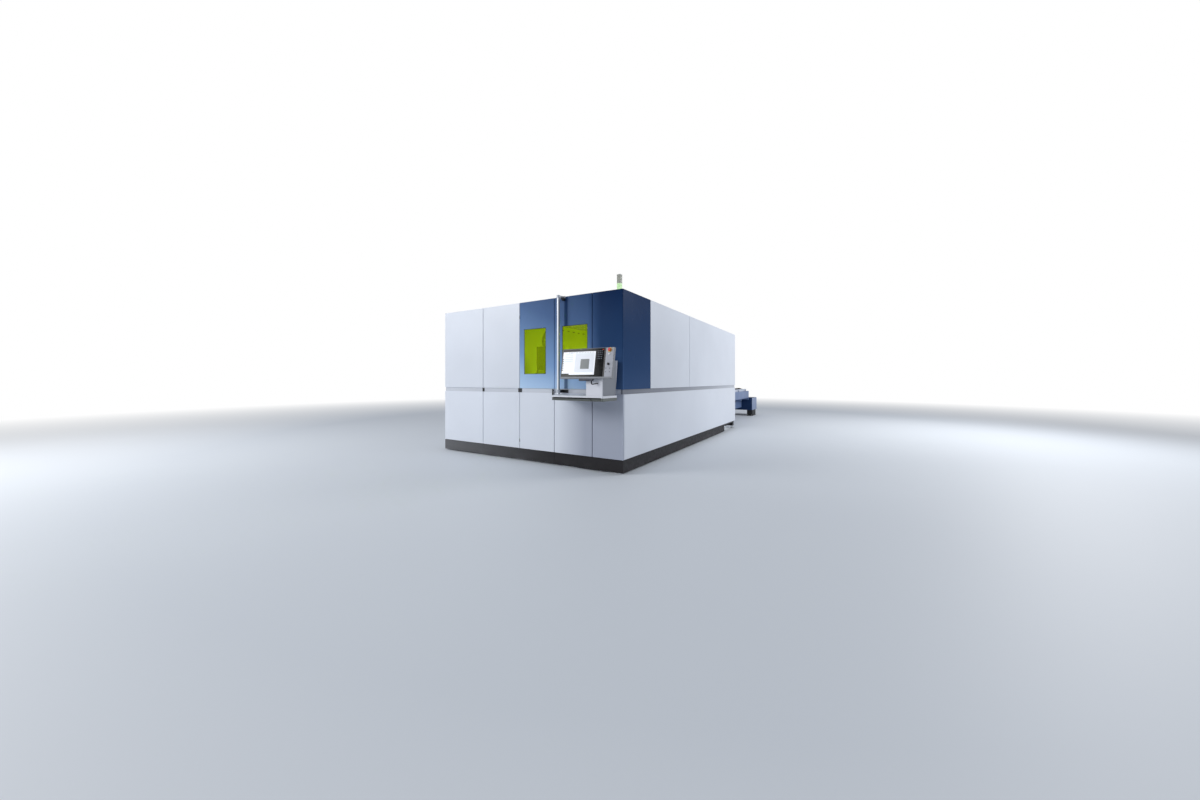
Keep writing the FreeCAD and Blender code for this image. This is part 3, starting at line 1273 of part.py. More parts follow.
def screen_glass():
    """The black front glass beside the control strip."""
    body = new_body("screen_glass")
    pad(body, "XZ", "screen_thickness - glass_recess", lambda sketch: rectangle(
        sketch, "0", "0", "screen_width - screen_margin",
        "monitor_tall - screen_chin - screen_margin"))
    return tilted(body, "screen_margin - monitor_width / 2", "glass_recess",
                  "screen_chin - monitor_tall / 2")


def control_strip():
    """The light strip of controls at the monitor's right, bored for the two buttons."""
    body = new_body("strip_plate")
    wide = "monitor_width - screen_width - screen_margin"

    def face(sketch):
        rectangle(sketch, "0", "0", wide, "monitor_tall - screen_chin - screen_margin")
        for name in ("stop", "start"):
            circle(sketch, f"{name}_u - strip_left",
                   f"{name}_w + monitor_tall / 2 - screen_chin", "button_hole")

    pad(body, "XZ", "screen_thickness + strip_proud", face)
    return tilted(body, "strip_left", "-strip_proud", "screen_chin - monitor_tall / 2")


def strip_control(label, steps, u, w, out):
    """A round control that stands out of the strip, stepped by (radius, height) pairs."""
    body = new_body(label)
    start = "0"
    for radius, height in steps:
        pad(body, "XZ", height, lambda sketch, radius=radius: circle(sketch, "0", "0", radius),
            start)
        start = f"{start} + {height}"
    return tilted(body, u, f"-strip_proud - ({out})", w)


def strip_controls():
    """Emergency stop and its collar, start button, selector and the lamps of the strip."""
    collar = new_body("stop_collar")

    def ring(sketch):
        circle(sketch, "0", "0", "collar_radius")
        circle(sketch, "0", "0", "button_hole")

    pad(collar, "XZ", "collar_depth", ring)
    tilted(collar, "stop_u", "-collar_depth - strip_proud", "stop_w")
    stop = strip_control("stop_button", (("stop_radius", "stop_head"),
                                         ("stem_radius", "stop_stem")),
                         "stop_u", "stop_w", "stop_out")
    chamfer_edges(stop, "stop_chamfer", lambda middle, along: middle.y < 0.1)
    start = strip_control("start_button", (("stem_radius", "start_stem"),),
                          "start_u", "start_w", "start_out")
    chamfer_edges(start, "start_chamfer", lambda middle, along: middle.y < 0.1)
    knob = new_body("selector_knob")
    pad(knob, "XZ", "knob_depth", lambda sketch: circle(sketch, "0", "0", "knob_radius"),
        "knob_start")
    pad(knob, "XZ", "grip_depth", lambda sketch: rectangle(
        sketch, "-grip_width / 2", "-grip_tall / 2", "grip_width", "grip_tall"))
    tilted(knob, "screen_width / 2 + knob_aside", "-knob_out", "-knob_drop")
    lamps = []
    for i, drop in enumerate(("lamp_high", "lamp_low")):
        for j, side in enumerate((-1, 1)):
            lamp = new_body(f"strip_lamp_{2 * i + j}")
            pad(lamp, "XZ", "lamp_depth", lambda sketch: circle(sketch, "0", "0", "lamp_radius"))
            lamps.append(tilted(lamp, f"screen_width / 2 + {side} * lamp_aside", "-lamp_out",
                                f"-{drop}"))
    return collar, stop, start, knob, lamps


def monitor_mount():
    """The plate on the pedestal's leaning front, with two ears and the tilt spindle."""
    face_v = "pedestal_v - mount_plate"
    plate = new_body("mount_plate_body")
    pad(plate, "XZ", "mount_plate", lambda sketch: rectangle(
        sketch, "-mount_width / 2", "-mount_tall / 2", "mount_width", "mount_tall"))
    members = [tilted(plate, "mount_u", face_v, "0")]
    for i, u in enumerate(["mount_u - knuckle_width / 2 - ear_gap - ear_width",
                           "mount_u + knuckle_width / 2 + ear_gap"]):
        ear = new_body(f"mount_ear_{i}")
        pad(ear, "YZ", "ear_width", lambda sketch: rectangle(
            sketch, "spindle_v", "-knuckle_radius", f"{face_v} - spindle_v",
            "2 * knuckle_radius"))
        pad(ear, "YZ", "ear_width",
            lambda sketch: circle(sketch, "spindle_v", "0", "knuckle_radius"))
        members.append(tilted(ear, u, "0", "0"))
    spindle = new_body("mount_spindle")
    pad(spindle, "YZ", "knuckle_width + 2 * ear_gap + 2 * ear_width",
        lambda sketch: circle(sketch, "spindle_v", "0", "spindle_radius"))
    members.append(tilted(spindle, "mount_u - knuckle_width / 2 - ear_gap - ear_width", "0", "0"))
    return weld("monitor_mount", members)


def connector_cover():
    """The dark cover over the plugs under the monitor."""
    body = new_body("connector_cover")
    pad(body, "YZ", "cover_width", lambda sketch: rectangle(
        sketch, "cover_inset", "-cover_tall", "cover_depth", "cover_tall"))
    round_edges(body, "4", lambda middle, along: abs(along.x) > 0.9
                and middle.z < -size["cover_tall"] + 0.1)
    return tilted(body, "cover_right - cover_width", "0", "-monitor_tall / 2")


def arc_path(points):
    """Straight runs through the points, each corner turned by an arc of 0.45 of the shorter run."""
    edges = []
    here = points[0]
    for before, corner, after in zip(points, points[1:-1], points[2:]):
        back = (before - corner).normalize()
        ahead = (after - corner).normalize()
        half_turn = (math.pi - back.getAngle(ahead)) / 2
        reach = 0.45 * min((before - corner).Length, (after - corner).Length)
        bow = reach / math.tan(half_turn) * (1 / math.cos(half_turn) - 1)
        entry = corner + back * reach
        leave = corner + ahead * reach
        edges.append(Part.LineSegment(here, entry).toShape())
        middle = corner + (back + ahead).normalize() * bow
        edges.append(Part.Arc(entry, middle, leave).toShape())
        here = leave
    edges.append(Part.LineSegment(here, points[-1]).toShape())
    return Part.Wire(edges)


def monitor_cable():
    """The monitor's lead, a short drooping loop from the connector cover to the pedestal."""
    tilt = math.radians(size["monitor_tilt"])
    back = Vector(0, math.cos(tilt), -math.sin(tilt))
    down = Vector(0, -math.sin(tilt), -math.cos(tilt))
    middle = Vector(place["monitor_x"], place["monitor_y"], size["monitor_middle"])
    start = (middle + Vector(size["cover_right"] - size["cable_inset"], 0, 0)
             + back * (size["cover_inset"] + size["cover_depth"] / 2)
             + down * (size["monitor_tall"] / 2 + size["cover_tall"]))
    face_y = place["front"] - size["pedestal_front"]
    low = start + down * size["cable_drop"]
    end = Vector(start.x + size["cable_run"], face_y, low.z + size["cable_lead"] / 2)
    points = [start, low, Vector(end.x, face_y - size["cable_lead"], end.z), end]
    path = arc_path(points)
    across = Vector(size["cable_radius"], 0, 0)
    corners = [start + Rotation(down, 360 / CABLE_SIDES * i).multVec(across)
               for i in range(CABLE_SIDES + 1)]
    ring = Part.makePolygon(corners)
    lead = doc.addObject("Part::Feature", "monitor_cable")
    lead.Shape = path.makePipeShell([ring], True, True)
    return lead


# ---- service side and signal tower ----
def control_cabinet():
    """The electrical cabinet in the closed bay at the left, with its doors' joint and plinth."""
    body = new_body("control_cabinet")
    pad(body, "XY", "cabinet_height", lambda sketch: rectangle(
        sketch, "0", "0", "cabinet_width", "cabinet_depth"))
    pocket(body, "XZ", "groove_depth", lambda sketch: rectangle(
        sketch, "(cabinet_width - groove_width) / 2", "groove_end", "groove_width",
        "cabinet_height - 2 * groove_end"))
    return put(body, "frame_left + frame_tube + bay_clearance",
               "front + cross_pitch + (frame_tube - cabinet_depth) / 2", "plinth_height")


def laser_source():
    """The laser source on its shelf in the closed bay, with a louvred front."""
    body = new_body("laser_source")
    pad(body, "XY", "source_height", lambda sketch: rectangle(
        sketch, "0", "0", "source_width", "source_depth"))
    louvre = pocket(body, "XZ", "louvre_depth", lambda sketch: rectangle(
        sketch, "louvre_edge", "louvre_first", "source_width - 2 * louvre_edge", "louvre_tall"))
    repeat(body, louvre, "Z", f"louvre_pitch * {LOUVRES - 1}", LOUVRES)
    return put(body, "frame_left + frame_tube + bay_clearance",
               "front + 2 * cross_pitch + (frame_tube - source_depth) / 2", "plinth_height")


def extraction_spigot():
    """The flanged outlet of the fume duct on the rear wall of the left bay."""
    body = new_body("extraction_spigot")
    sketch = sketch_on(body, "XY")
    inside = "spigot_radius - spigot_wall"
    brim = "spigot_radius + spigot_flange"
    outline(sketch, [(inside, "0"), (brim, "0"), (brim, "spigot_sheet"),
                     ("spigot_radius", "spigot_sheet"), ("spigot_radius", "spigot_length"),
                     (inside, "spigot_length")])
    turned = body.newObject("PartDesign::Revolution", "spigot_turned")
    turned.Profile = sketch
    turned.ReferenceAxis = (sketch, ["V_Axis"])
    return put(body, "left + spigot_offset", "rear", "spigot_height")


def signal_tower():
    """A square light column near the right front corner of the roof."""
    x = "right - tower_from_side"
    y = "front + tower_from_front"
    seat = "ceiling_height + panel_sheet"
    side = "tower_side"

    def segment(label, low, high, shrink):
        body = new_body(label)
        span = f"{side} - 2 * {shrink}"
        pad(body, "XY", f"({high}) - ({low})", lambda sketch: rectangle(
            sketch, f"-({span}) / 2", f"-({span}) / 2", span, span))
        round_edges(body, "tower_round", lambda middle, along: abs(along.z) > 0.9)
        return put(body, x, y, low)

    foot = "cabin_height + tower_foot"
    joint = "cabin_height + tower_joint"
    cap = "tower_top - tower_cap"
    ends = [segment("tower_base", seat, foot, "0"), segment("tower_cap", cap, "tower_top", "0")]
    green = segment("tower_lens_green", foot, joint, "tower_shrink")
    upper = segment("tower_lens_upper", joint, cap, "tower_shrink")
    return group("tower_ends", ends), green, upper


# ---- the nodes ----
node(base_frame())
node(levelling_feet())
node(plinth_covers())
node(enclosure_frame())
node(roof())
node(trim_band())
node(chamber_partition())
node(group("rear_wall", rear_wall() + gate_guides()))

node(group("front_panels_upper", [
    front_tray("upper_left", "left", "seam_middle", "band_high", "upper_tall"),
    front_tray("upper_middle", "seam_middle", "seam_door", "band_high", "upper_tall")]))
node(front_tray("front_panel_window", "seam_window", "seam_corner", "band_high", "upper_tall",
                hole=window_hole("seam_window", "fixed_glass_left", "fixed_glass_width",
                                 "band_high")))
node(corner_panel())
node(group("front_panels_lower", [
    front_tray("lower_left", "left", "seam_middle", "lower_start", "lower_tall"),
    front_tray("lower_middle", "seam_middle", "seam_door", "lower_start", "lower_tall"),
    front_tray("lower_window", "seam_window", "seam_corner", "lower_start", "lower_tall"),
    front_tray("lower_corner", "seam_corner", "right + half_gap", "lower_start",
               "lower_tall")]))
node(group("side_panels_upper", [
    side_tray("side_front", "corner_side", "side_split", "band_high", "upper_tall", 1),
    side_tray("side_rear", "side_split", "cabin_length", "band_high", "upper_tall", 1)]))
node(side_tray("side_panel_lower", "panel_fold", "cabin_length", "lower_start", "lower_tall", 1))
node(group("left_panels", [
    side_tray("left_upper_front", "panel_fold", "left_split", "band_high", "upper_tall", -1),
    side_tray("left_upper_rear", "left_split", "cabin_length", "band_high", "upper_tall", -1),
    side_tray("left_lower_front", "panel_fold", "left_split", "lower_start", "lower_tall", -1),
    side_tray("left_lower_rear", "left_split", "cabin_length", "lower_start", "lower_tall",
              -1)]))
for thing in window_parts("fixed_window", "fixed_glass_left", "fixed_glass_width"):
    node(thing)

door_fold = "panel_fold - door_clearance"
node(front_tray("door_panel", "seam_door", "seam_window", "band_high", "upper_tall", door_fold,
                window_hole("seam_door", "door_glass_left", "door_glass_width", "band_high")))
node(group("door_panel_lower", [
    front_tray("door_lower_skin", "seam_door", "seam_window", "lower_start", "lower_tall",
               door_fold), door_rail()]))
for thing in window_parts("door_window", "door_glass_left", "door_glass_width"):
    node(thing)
for thing in hinges():
    node(thing)
node(door_handle())

node(bed_frame())
node(guide_rails())
node(gantry_beam())
node(group("carriage", [carriage(), drive_cover()]))
node(weld("cutting_head_assembly", [cutting_head(), head_ram()]))
node(energy_chain())

for name, start, level in (("upper", "changer_parked", "upper_track"),
                           ("lower", "pallet_parked", "lower_track")):
    node(group(f"{name}_pallet", [pallet_frame(f"{name}_pallet_frame", start, level),
                                  *pallet_wheels(f"{name}_pallet_roller", start, level)]))
    node(slats(f"{name}_pallet_slats", start, level))
node(group("inner_tracks", track("inner", "track_inner_start", "track_inner_end")))
node(changer_frame())
node(end_unit())
node(changer_legs())
node(rear_gate())

node(swing_post())
node(group("post_brackets", [
    post_bracket("bracket_top", "post_top - bracket_top_drop", "bracket_top_tall",
                 "front - plate_sheet", "bracket_top_plate"),
    post_bracket("bracket_low", "band_low + bracket_lift", "bracket_low_tall",
                 "front + band_recess - plate_sheet", "bracket_plate")]))
node(console_shelf())
node(keyboard_drawer())
node(keyboard())
node(pedestal())
node(monitor_mount())
node(group("monitor_housing", [monitor_housing(), monitor_knuckle(), connector_cover()]))
node(screen_glass())
*controls, lamps = strip_controls()
node(group("control_strip", [control_strip(), *lamps]))
for thing in controls:
    node(thing)
node(monitor_cable())

node(control_cabinet())
node(laser_source())
node(extraction_spigot())
for thing in signal_tower():
    node(thing)

doc.recompute()
faults = []
for thing in doc.Objects:
    if {"Invalid", "Error"} & set(thing.State):
        faults.append(f"{thing.Label} failed")
for thing in nodes:
    if thing.Shape.isNull() or not thing.Shape.isValid() or not thing.Shape.Solids:
        faults.append(f"{thing.Label} has no valid shape")
if faults:
    raise RuntimeError("; ".join(faults))
os.makedirs("parts", exist_ok=True)
for thing in nodes:
    thing.Shape.exportStep(f"parts/{thing.Label}.step")
print(len(nodes), "nodes")
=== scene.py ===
import math

import bmesh
import bpy
from mathutils import Matrix, Vector


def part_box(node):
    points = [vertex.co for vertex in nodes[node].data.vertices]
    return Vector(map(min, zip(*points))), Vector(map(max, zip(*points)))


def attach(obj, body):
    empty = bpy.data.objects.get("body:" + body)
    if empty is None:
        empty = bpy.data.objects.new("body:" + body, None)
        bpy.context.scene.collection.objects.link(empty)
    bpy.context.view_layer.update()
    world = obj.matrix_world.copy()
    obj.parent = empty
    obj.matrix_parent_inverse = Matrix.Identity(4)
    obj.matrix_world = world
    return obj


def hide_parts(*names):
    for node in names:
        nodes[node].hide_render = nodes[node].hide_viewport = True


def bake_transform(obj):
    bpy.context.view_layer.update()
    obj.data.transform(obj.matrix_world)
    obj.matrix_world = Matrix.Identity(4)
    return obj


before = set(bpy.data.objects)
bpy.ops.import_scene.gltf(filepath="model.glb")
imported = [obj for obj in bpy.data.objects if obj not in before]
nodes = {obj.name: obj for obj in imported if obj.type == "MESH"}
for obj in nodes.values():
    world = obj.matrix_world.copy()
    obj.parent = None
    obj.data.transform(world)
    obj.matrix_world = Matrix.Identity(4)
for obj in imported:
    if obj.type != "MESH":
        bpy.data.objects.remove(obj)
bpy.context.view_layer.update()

# World axes, in metres: X runs to the right of the front, Y to the back and Z up.
X, Y, Z = range(3)
RIGHT, BACK, UP = Vector((1, 0, 0)), Vector((0, 1, 0)), Vector((0, 0, 1))

CABIN_SIDE = 1.75  # just inside the cabin's right face
CABIN_FRONT = -5.04  # the plane of the front panels
REAR_WALL = 1.025  # the rear wall's outer face
ROOF_SHEET = 2.343  # the roof sheet's upper face
PLATE_TOP = 0.015  # upper face of the changer's foot plates
BOX_FRONT = 2.55  # front face of the changer's terminal box
MONITOR = Vector((1.511, -5.489, 1.427))  # middle of the monitor's front face
LEAN = math.radians(10)  # its tilt at rest
LEAD_CORNERS = [Vector(corner) for corner in (  # the lead's route, from the monitor
    (1.601, -5.5076, 1.2120), (1.601, -5.5156, 1.1667),
    (1.659, -5.4810, 1.1797), (1.659, -5.4550, 1.1797))]
LEAD_RADIUS = 0.0065
POST_X, POST_Y = 0.808, -5.142  # axis of the swing post


# ---- finishes ---------------------------------------------------------------------------------

finishes = {}
MIX_SHARE, MIX_A, MIX_B, MIX_COLOUR = 0, 6, 7, 2  # sockets of a Mix node set to colours


def paint(red, green, blue):
    """A colour as read off a picture, 0 to 255, made linear."""
    parts = []
    for level in (red, green, blue):
        level /= 255
        parts.append(level / 12.92 if level <= 0.04045 else ((level + 0.055) / 1.055) ** 2.4)
    return (*parts, 1.0)


def scaled(colour, factor):
    return tuple(min(1, level * factor) for level in colour[:3]) + (1.0,)


class Flow:
    """One socket of a finish. Arithmetic on it adds Math nodes, and via adds any other node."""

    def __init__(self, tree, socket):
        self.tree = tree
        self.socket = socket

    def feed(self, target, value):
        if isinstance(value, Flow):
            self.tree.links.new(value.socket, target)
        else:
            target.default_value = value

    def via(self, kind, at=0, out=0, also=None, **settings):
        node = self.tree.nodes.new("ShaderNode" + kind)
        for key, value in settings.items():
            setattr(node, key, value)
        self.feed(node.inputs[at], self)
        for key, value in (also or {}).items():
            self.feed(node.inputs[key], value)
        return Flow(self.tree, node.outputs[out])

    def maths(self, operation, *others):
        return self.via("Math", also=dict(enumerate(others, 1)), operation=operation)

    def __add__(self, other):
        return self.maths("ADD", other)

    def __sub__(self, other):
        return self.maths("SUBTRACT", other)

    def __mul__(self, other):
        return self.maths("MULTIPLY", other)

    def __truediv__(self, other):
        return self.maths("DIVIDE", other)

    def __gt__(self, other):
        return self.maths("GREATER_THAN", other)

    def __lt__(self, other):
        return self.maths("LESS_THAN", other)

    def between(self, low, high, to_low=0.0, to_high=1.0):
        """Carries low..high over to to_low..to_high and stops there."""
        return self.via("MapRange", also={"From Min": low, "From Max": high,
                                          "To Min": to_low, "To Max": to_high})

    def clamped(self):
        return self.between(0.0, 1.0)

    def within(self, low, high):
        """1 from low to high and 0 outside."""
        return (self > low) * (self < high)

    def tints(self, low, high):
        """The colour low at 0 and high at 1."""
        return self.via("Mix", out=MIX_COLOUR, also={MIX_A: low, MIX_B: high}, data_type="RGBA")

    def mixed(self, colour, share):
        """This colour with a share of another."""
        return self.via("Mix", at=MIX_A, out=MIX_COLOUR, also={MIX_SHARE: share, MIX_B: colour},
                        data_type="RGBA")

    def ramped(self, stops):
        """The colour at this value along the stops, each a place and a colour."""
        flow = self.via("ValToRGB")
        ramp = flow.socket.node.color_ramp.elements
        for element, stop in ((ramp[0], stops[0]), (ramp[1], stops[-1])):
            element.position, element.color = stop
        for place, colour in stops[1:-1]:
            ramp.new(place).color = colour
        return flow


def spot(across, up, radius):
    """1 less than radius from where both flows are 0, and 0 farther off."""
    return (across * across + up * up).maths("SQRT") < radius


def seen_by(tree, *kinds):
    """1 for rays of these kinds and 0 for the others."""
    path = tree.nodes.new("ShaderNodeLightPath")
    first, *others = [Flow(tree, path.outputs[f"Is {kind} Ray"]) for kind in kinds]
    for other in others:
        first = first + other
    return first.clamped()


class Finish:
    """One surface, kept in finishes: a shader, and the flows that vary it over the piece."""

    def __init__(self, name, rough, metal=0.0, **constants):
        self.material = bpy.data.materials.new(name)
        self.material.use_nodes = True
        self.tree = self.material.node_tree
        self.shader = next(n for n in self.tree.nodes if n.type == "BSDF_PRINCIPLED")
        self.shader.inputs["Roughness"].default_value = rough
        self.shader.inputs["Metallic"].default_value = metal
        for key, value in constants.items():
            self.shader.inputs[key.replace("_", " ")].default_value = value
        place = self.tree.nodes.new("ShaderNodeTexCoord")
        self.place = Flow(self.tree, place.outputs["Object"])
        finishes[name] = self.material

    def axis(self, index):
        return self.place.via("SeparateXYZ", out=index)

    def on_monitor(self):
        """Across and up the monitor's leaning face, from its middle."""
        out = (self.axis(Y) - MONITOR.y) * math.sin(LEAN)
        return self.axis(X) - MONITOR.x, out + (self.axis(Z) - MONITOR.z) * math.cos(LEAN)

    def stretched(self, x, y, z):
        return self.place.via("Mapping", also={"Scale": (x, y, z)})

    def noise(self, scale, detail, grain=0.5, where=None):
        return (where or self.place).via("TexNoise", also={"Scale": scale, "Detail": detail,
                                                           "Roughness": grain})

    def patches(self, scale, detail, low=0.0, high=1.0, margin=0.3):
        """Noise spread to run from low to high, flat over a margin at either end."""
        return self.noise(scale, detail).between(margin, 1 - margin, low, high)

    def spots(self, scale, out="Distance"):
        return self.place.via("TexVoronoi", out=out, also={"Scale": scale})

    def drift(self, colour, shade=0.93):
        """The colour, wandering slowly to a darker shade of it."""
        return self.patches(0.8, 3).tints(scaled(colour, shade), colour)

    def drive(self, socket, flow):
        self.tree.links.new(flow.socket, self.shader.inputs[socket])

    def colour(self, flow):
        self.drive("Base Color", flow)

    def glow(self, flow):
        self.colour(flow)
        self.drive("Emission Color", flow)

    def gloss(self, scale, detail, low, high, margin=0.3):
        self.drive("Roughness", self.patches(scale, detail, low, high, margin))

    def relief(self, height, depth, strength):
        bump = height.via("Bump", at="Height", also={"Strength": strength, "Distance": depth})
        self.drive("Normal", bump)

    def peel(self):
        """The fine orange peel of baked powder."""
        self.relief(self.noise(420, 2), 0.0004, 0.25)

    def powder(self, low, high):
        """Baked powder, its roughness wandering slowly from low to high."""
        self.gloss(2.3, 4, low, high, margin=0.25)
        self.peel()


def powder_coat(name, colour, shade=0.93, rough=0.42):
    """Baked powder on sheet steel: fine orange peel, and a slow drift of tone and gloss."""
    f = Finish(name, rough)
    f.colour(f.drift(colour, shade))
    f.powder(rough - 0.06, rough + 0.08)


def banded_coat(name, colour, band, split):
    """The powder coat of a sheet whose head, above split, has the colour of band."""
    f = Finish(name, 0.44)
    f.colour((f.axis(Z) > split).tints(f.drift(colour), band))
    f.powder(0.38, 0.52)


def shaded_coat(name, colour, grey):
    """Powder coat of the lower front, greyed to the right where the console shades it."""
    f = Finish(name, 0.42)
    shade_start, shade_end = 0.74, 1.2
    f.colour(f.axis(X).between(shade_start, shade_end).tints(f.drift(colour, 0.95), grey))
    f.powder(0.36, 0.5)


def trim_coat(name, colour, dark):
    """The grey band between upper and lower panels, with painted shade on the cabin's side that is
    deepest by the front corner.
    """
    f = Finish(name, 0.5)
    fade_end = 0.4
    # painted shade on the side face, fading from the front corner towards the rear
    beside = (f.axis(X) > CABIN_SIDE) * f.axis(Y).between(CABIN_FRONT, fade_end, 0.9, 0.25)
    tone = f.patches(0.8, 3, 0.0, 0.1).tints(colour, dark)
    f.colour(beside.tints(tone, dark))
    f.powder(0.44, 0.58)


def louvred_coat(name, colour):
    """Powder coat of the service side: two fields of pressed louvres, their openings painted dark
    as shade, and rows of round locks.
    """
    f = Finish(name, 0.42)
    per_metre, first_louvre, last_louvre, cut_share = 32.0, 11, 25, 0.3
    lock_line, lock_pitch, lock_radius, lock_end = 2.14, 0.5, 0.014, 2.2
    front_field, rear_field = (-4.55, -3.85), (-1.35, -0.65)
    along, up = f.axis(Y), f.axis(Z)
    fields = along.within(*front_field) + along.within(*rear_field)
    rows = (up * per_metre).maths("FRACT")
    louvre = fields * up.within(first_louvre / per_metre, last_louvre / per_metre)
    cut = louvre * (rows < cut_share)
    aside = (along.maths("ABSOLUTE") - lock_line).maths("ABSOLUTE")
    above = (up * (1 / lock_pitch)).maths("FRACT") * lock_pitch - lock_pitch / 2
    lock = spot(aside, above, lock_radius) * (up < lock_end)
    # painted shade in the louvres' openings
    tone = cut.tints(f.drift(colour), paint(30, 32, 36))
    f.colour(lock.tints(tone, paint(40, 42, 46)))
    f.gloss(2.3, 4, 0.36, 0.5, margin=0.25)
    f.relief(louvre * rows + lock, 0.006, 0.6)


def navy_gloss():
    """Dark blue lacquer with painted light: a painted reflection makes it paler low down and to
    the left and deepest towards the cabin's upper corner, painted shade darkens the corner column
    where the console's shadow falls, a painted reflection of the post runs down beside it, and the
    faces along the side get painted shade.
    """
    f = Finish("navy_gloss", 0.25, IOR=1.2, Specular_IOR_Level=0.12)
    left, right, foot, head = -0.35, 1.2, 1.06, 2.4
    along = f.axis(X).between(left, right)
    up = f.axis(Z).between(foot, head).maths("POWER", 1.1)
    # painted shade by the corner column, where the console's shadow falls, strongest low down
    console_shadow_start, console_shadow_end = 1.24, 1.46
    corner = f.axis(X).between(console_shadow_start, console_shadow_end) * up.between(0.0, 1.0, 0.36, 0.22)
    # painted reflection: the front pales low down and to the left and deepens towards the upper
    # right
    front = along * 0.11 + 0.13 + up * along.between(0.0, 1.0, 0.36, 0.5) + corner
    # painted shade: faces behind the front plane, along the side, take a darker tone of their own
    beside = f.axis(Y) > CABIN_FRONT + 0.01
    depth = front + beside * (up * 0.2 + 0.7 - front)
    depth = depth + f.patches(0.9, 2, -0.03, 0.03, margin=0.0)
    tone = depth.ramped([
        (0.1, paint(206, 232, 255)), (0.3, paint(128, 160, 202)), (0.55, paint(74, 102, 144)),
        (0.75, paint(42, 70, 110)), (1.0, paint(6, 34, 72))])
    # painted reflection of the post: a dark strip down the panel beside it
    left_edge, right_edge = (0.838, 0.852), (0.898, 0.912)
    painted_post_reflection = f.axis(X).between(*left_edge) * f.axis(X).between(*right_edge, 1.0, 0.0)
    f.colour((painted_post_reflection * 0.62).tints(tone, paint(12, 40, 82)))
    f.gloss(3.0, 3, 0.2, 0.3, margin=0.2)
    f.relief(f.noise(300, 2), 0.0003, 0.08)


def dull_paint(name, colour, lighter):
    """Thin frame paint that gathers dust and scuffs low down."""
    f = Finish(name, 0.62)
    dust_line = 0.5
    low_down = f.axis(Z).between(0.0, dust_line, 0.8, 0.25)
    dust = f.noise(5.0, 6, 0.62).between(0.45, 0.75) * low_down
    f.colour(dust.tints(colour, lighter))
    f.gloss(22, 4, 0.52, 0.74)
    f.relief(f.noise(160, 3), 0.0006, 0.3)


def skirting_black():
    """Satin black skirting, dusty along its foot and paler towards the lit left end."""
    f = Finish("plinth_black", 0.5, Specular_IOR_Level=0.25)
    left_end, unlit, dust_line = -1.8, 0.6, 0.12
    lit = f.axis(X).between(left_end, unlit, 0.55, 0.0)
    dust = f.noise(3.0, 4).between(0.5, 0.8) * f.axis(Z).between(0.0, dust_line, 0.3, 0.0)
    f.colour((lit + dust).clamped().tints(paint(36, 34, 36), paint(126, 127, 130)))
    f.gloss(22, 4, 0.42, 0.6)
    f.relief(f.noise(240, 2), 0.0004, 0.2)


def hammered_paint(name, colour, lighter):
    """Thick textured machine paint on the welded bed and gantry."""
    f = Finish(name, 0.45)
    f.colour(f.noise(3.0, 5).between(0.35, 0.7).tints(colour, lighter))
    f.drive("Roughness", f.spots(90).between(0.0, 0.6, 0.38, 0.56))
    f.relief(f.spots(120), 0.0008, 0.35)


def unit_paint():
    """The end box of the changer: deep blue across, paler along its lit flank."""
    f = Finish("unit_paint", 0.35, Specular_IOR_Level=0.3)
    skin = 0.003
    flank = f.axis(X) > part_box("changer_end_unit")[1][0] - skin
    f.colour((flank * f.patches(1.2, 3, 0.85, 1.0, margin=0.2))
             .tints(paint(16, 44, 84), paint(122, 140, 176)))
    f.powder(0.3, 0.42)


def ground_steel():
    """Ground rails: fine lines along the length, with an oil film in places."""
    f = Finish("ground_steel", 0.25, 1.0)
    lines = f.noise(60, 4, 0.6, f.stretched(30, 0.6, 30))
    f.colour(lines.between(0.3, 0.7).tints(paint(150, 154, 160), paint(196, 199, 204)))
    f.gloss(4, 4, 0.18, 0.38)
    f.relief(lines, 0.0002, 0.3)


def fixing_steel():
    """Zinc-plated screws and nuts, a little yellowed."""
    f = Finish("fixing_steel", 0.35, 0.85)
    tone = f.patches(60, 3)
    f.colour(tone.tints(paint(150, 150, 146), paint(196, 194, 184)))
    f.drive("Roughness", tone.between(0.0, 1.0, 0.28, 0.45))
    f.relief(f.noise(900, 2), 0.0001, 0.3)


def zinc():
    """Galvanised sheet with its spangle."""
    f = Finish("zinc", 0.4, 0.9)
    spangle = f.spots(55, "Color").via("HueSaturation", at="Color", also={"Saturation": 0.0})
    f.colour(spangle.mixed(paint(176, 182, 188), 0.72))
    f.drive("Roughness", f.spots(55).between(0.0, 0.5, 0.3, 0.5))
    f.relief(f.noise(200, 3), 0.0003, 0.2)


def sooty_slat():
    """Slats of cut plate: patches of mill scale and soot over a rough, slag-spattered face."""
    f = Finish("sooty_slat", 0.6, 0.7)
    scale = f.noise(26, 6, 0.65).between(0.35, 0.7)
    f.colour(scale.tints(paint(28, 25, 23), paint(92, 84, 76)))
    f.gloss(60, 4, 0.45, 0.85)
    f.relief(f.noise(180, 5, 0.7), 0.0012, 0.7)


def mould(name, colour, rough=0.5, grain=900, depth=0.0002, lighter=1.25):
    """Moulded plastic with a fine spark-eroded grain."""
    f = Finish(name, rough)
    f.colour(f.noise(7, 4).between(0.35, 0.75).tints(colour, scaled(colour, lighter)))
    f.gloss(40, 3, rough - 0.06, rough + 0.08)
    f.relief(f.noise(grain, 2), depth, 0.4)


def rubber(name, colour):
    """Black rubber with a pale bloom."""
    f = Finish(name, 0.75)
    f.colour(f.noise(30, 5).between(0.5, 0.8).tints(colour, paint(52, 52, 54)))
    f.gloss(50, 3, 0.66, 0.85)
    f.relief(f.noise(500, 2), 0.0003, 0.4)


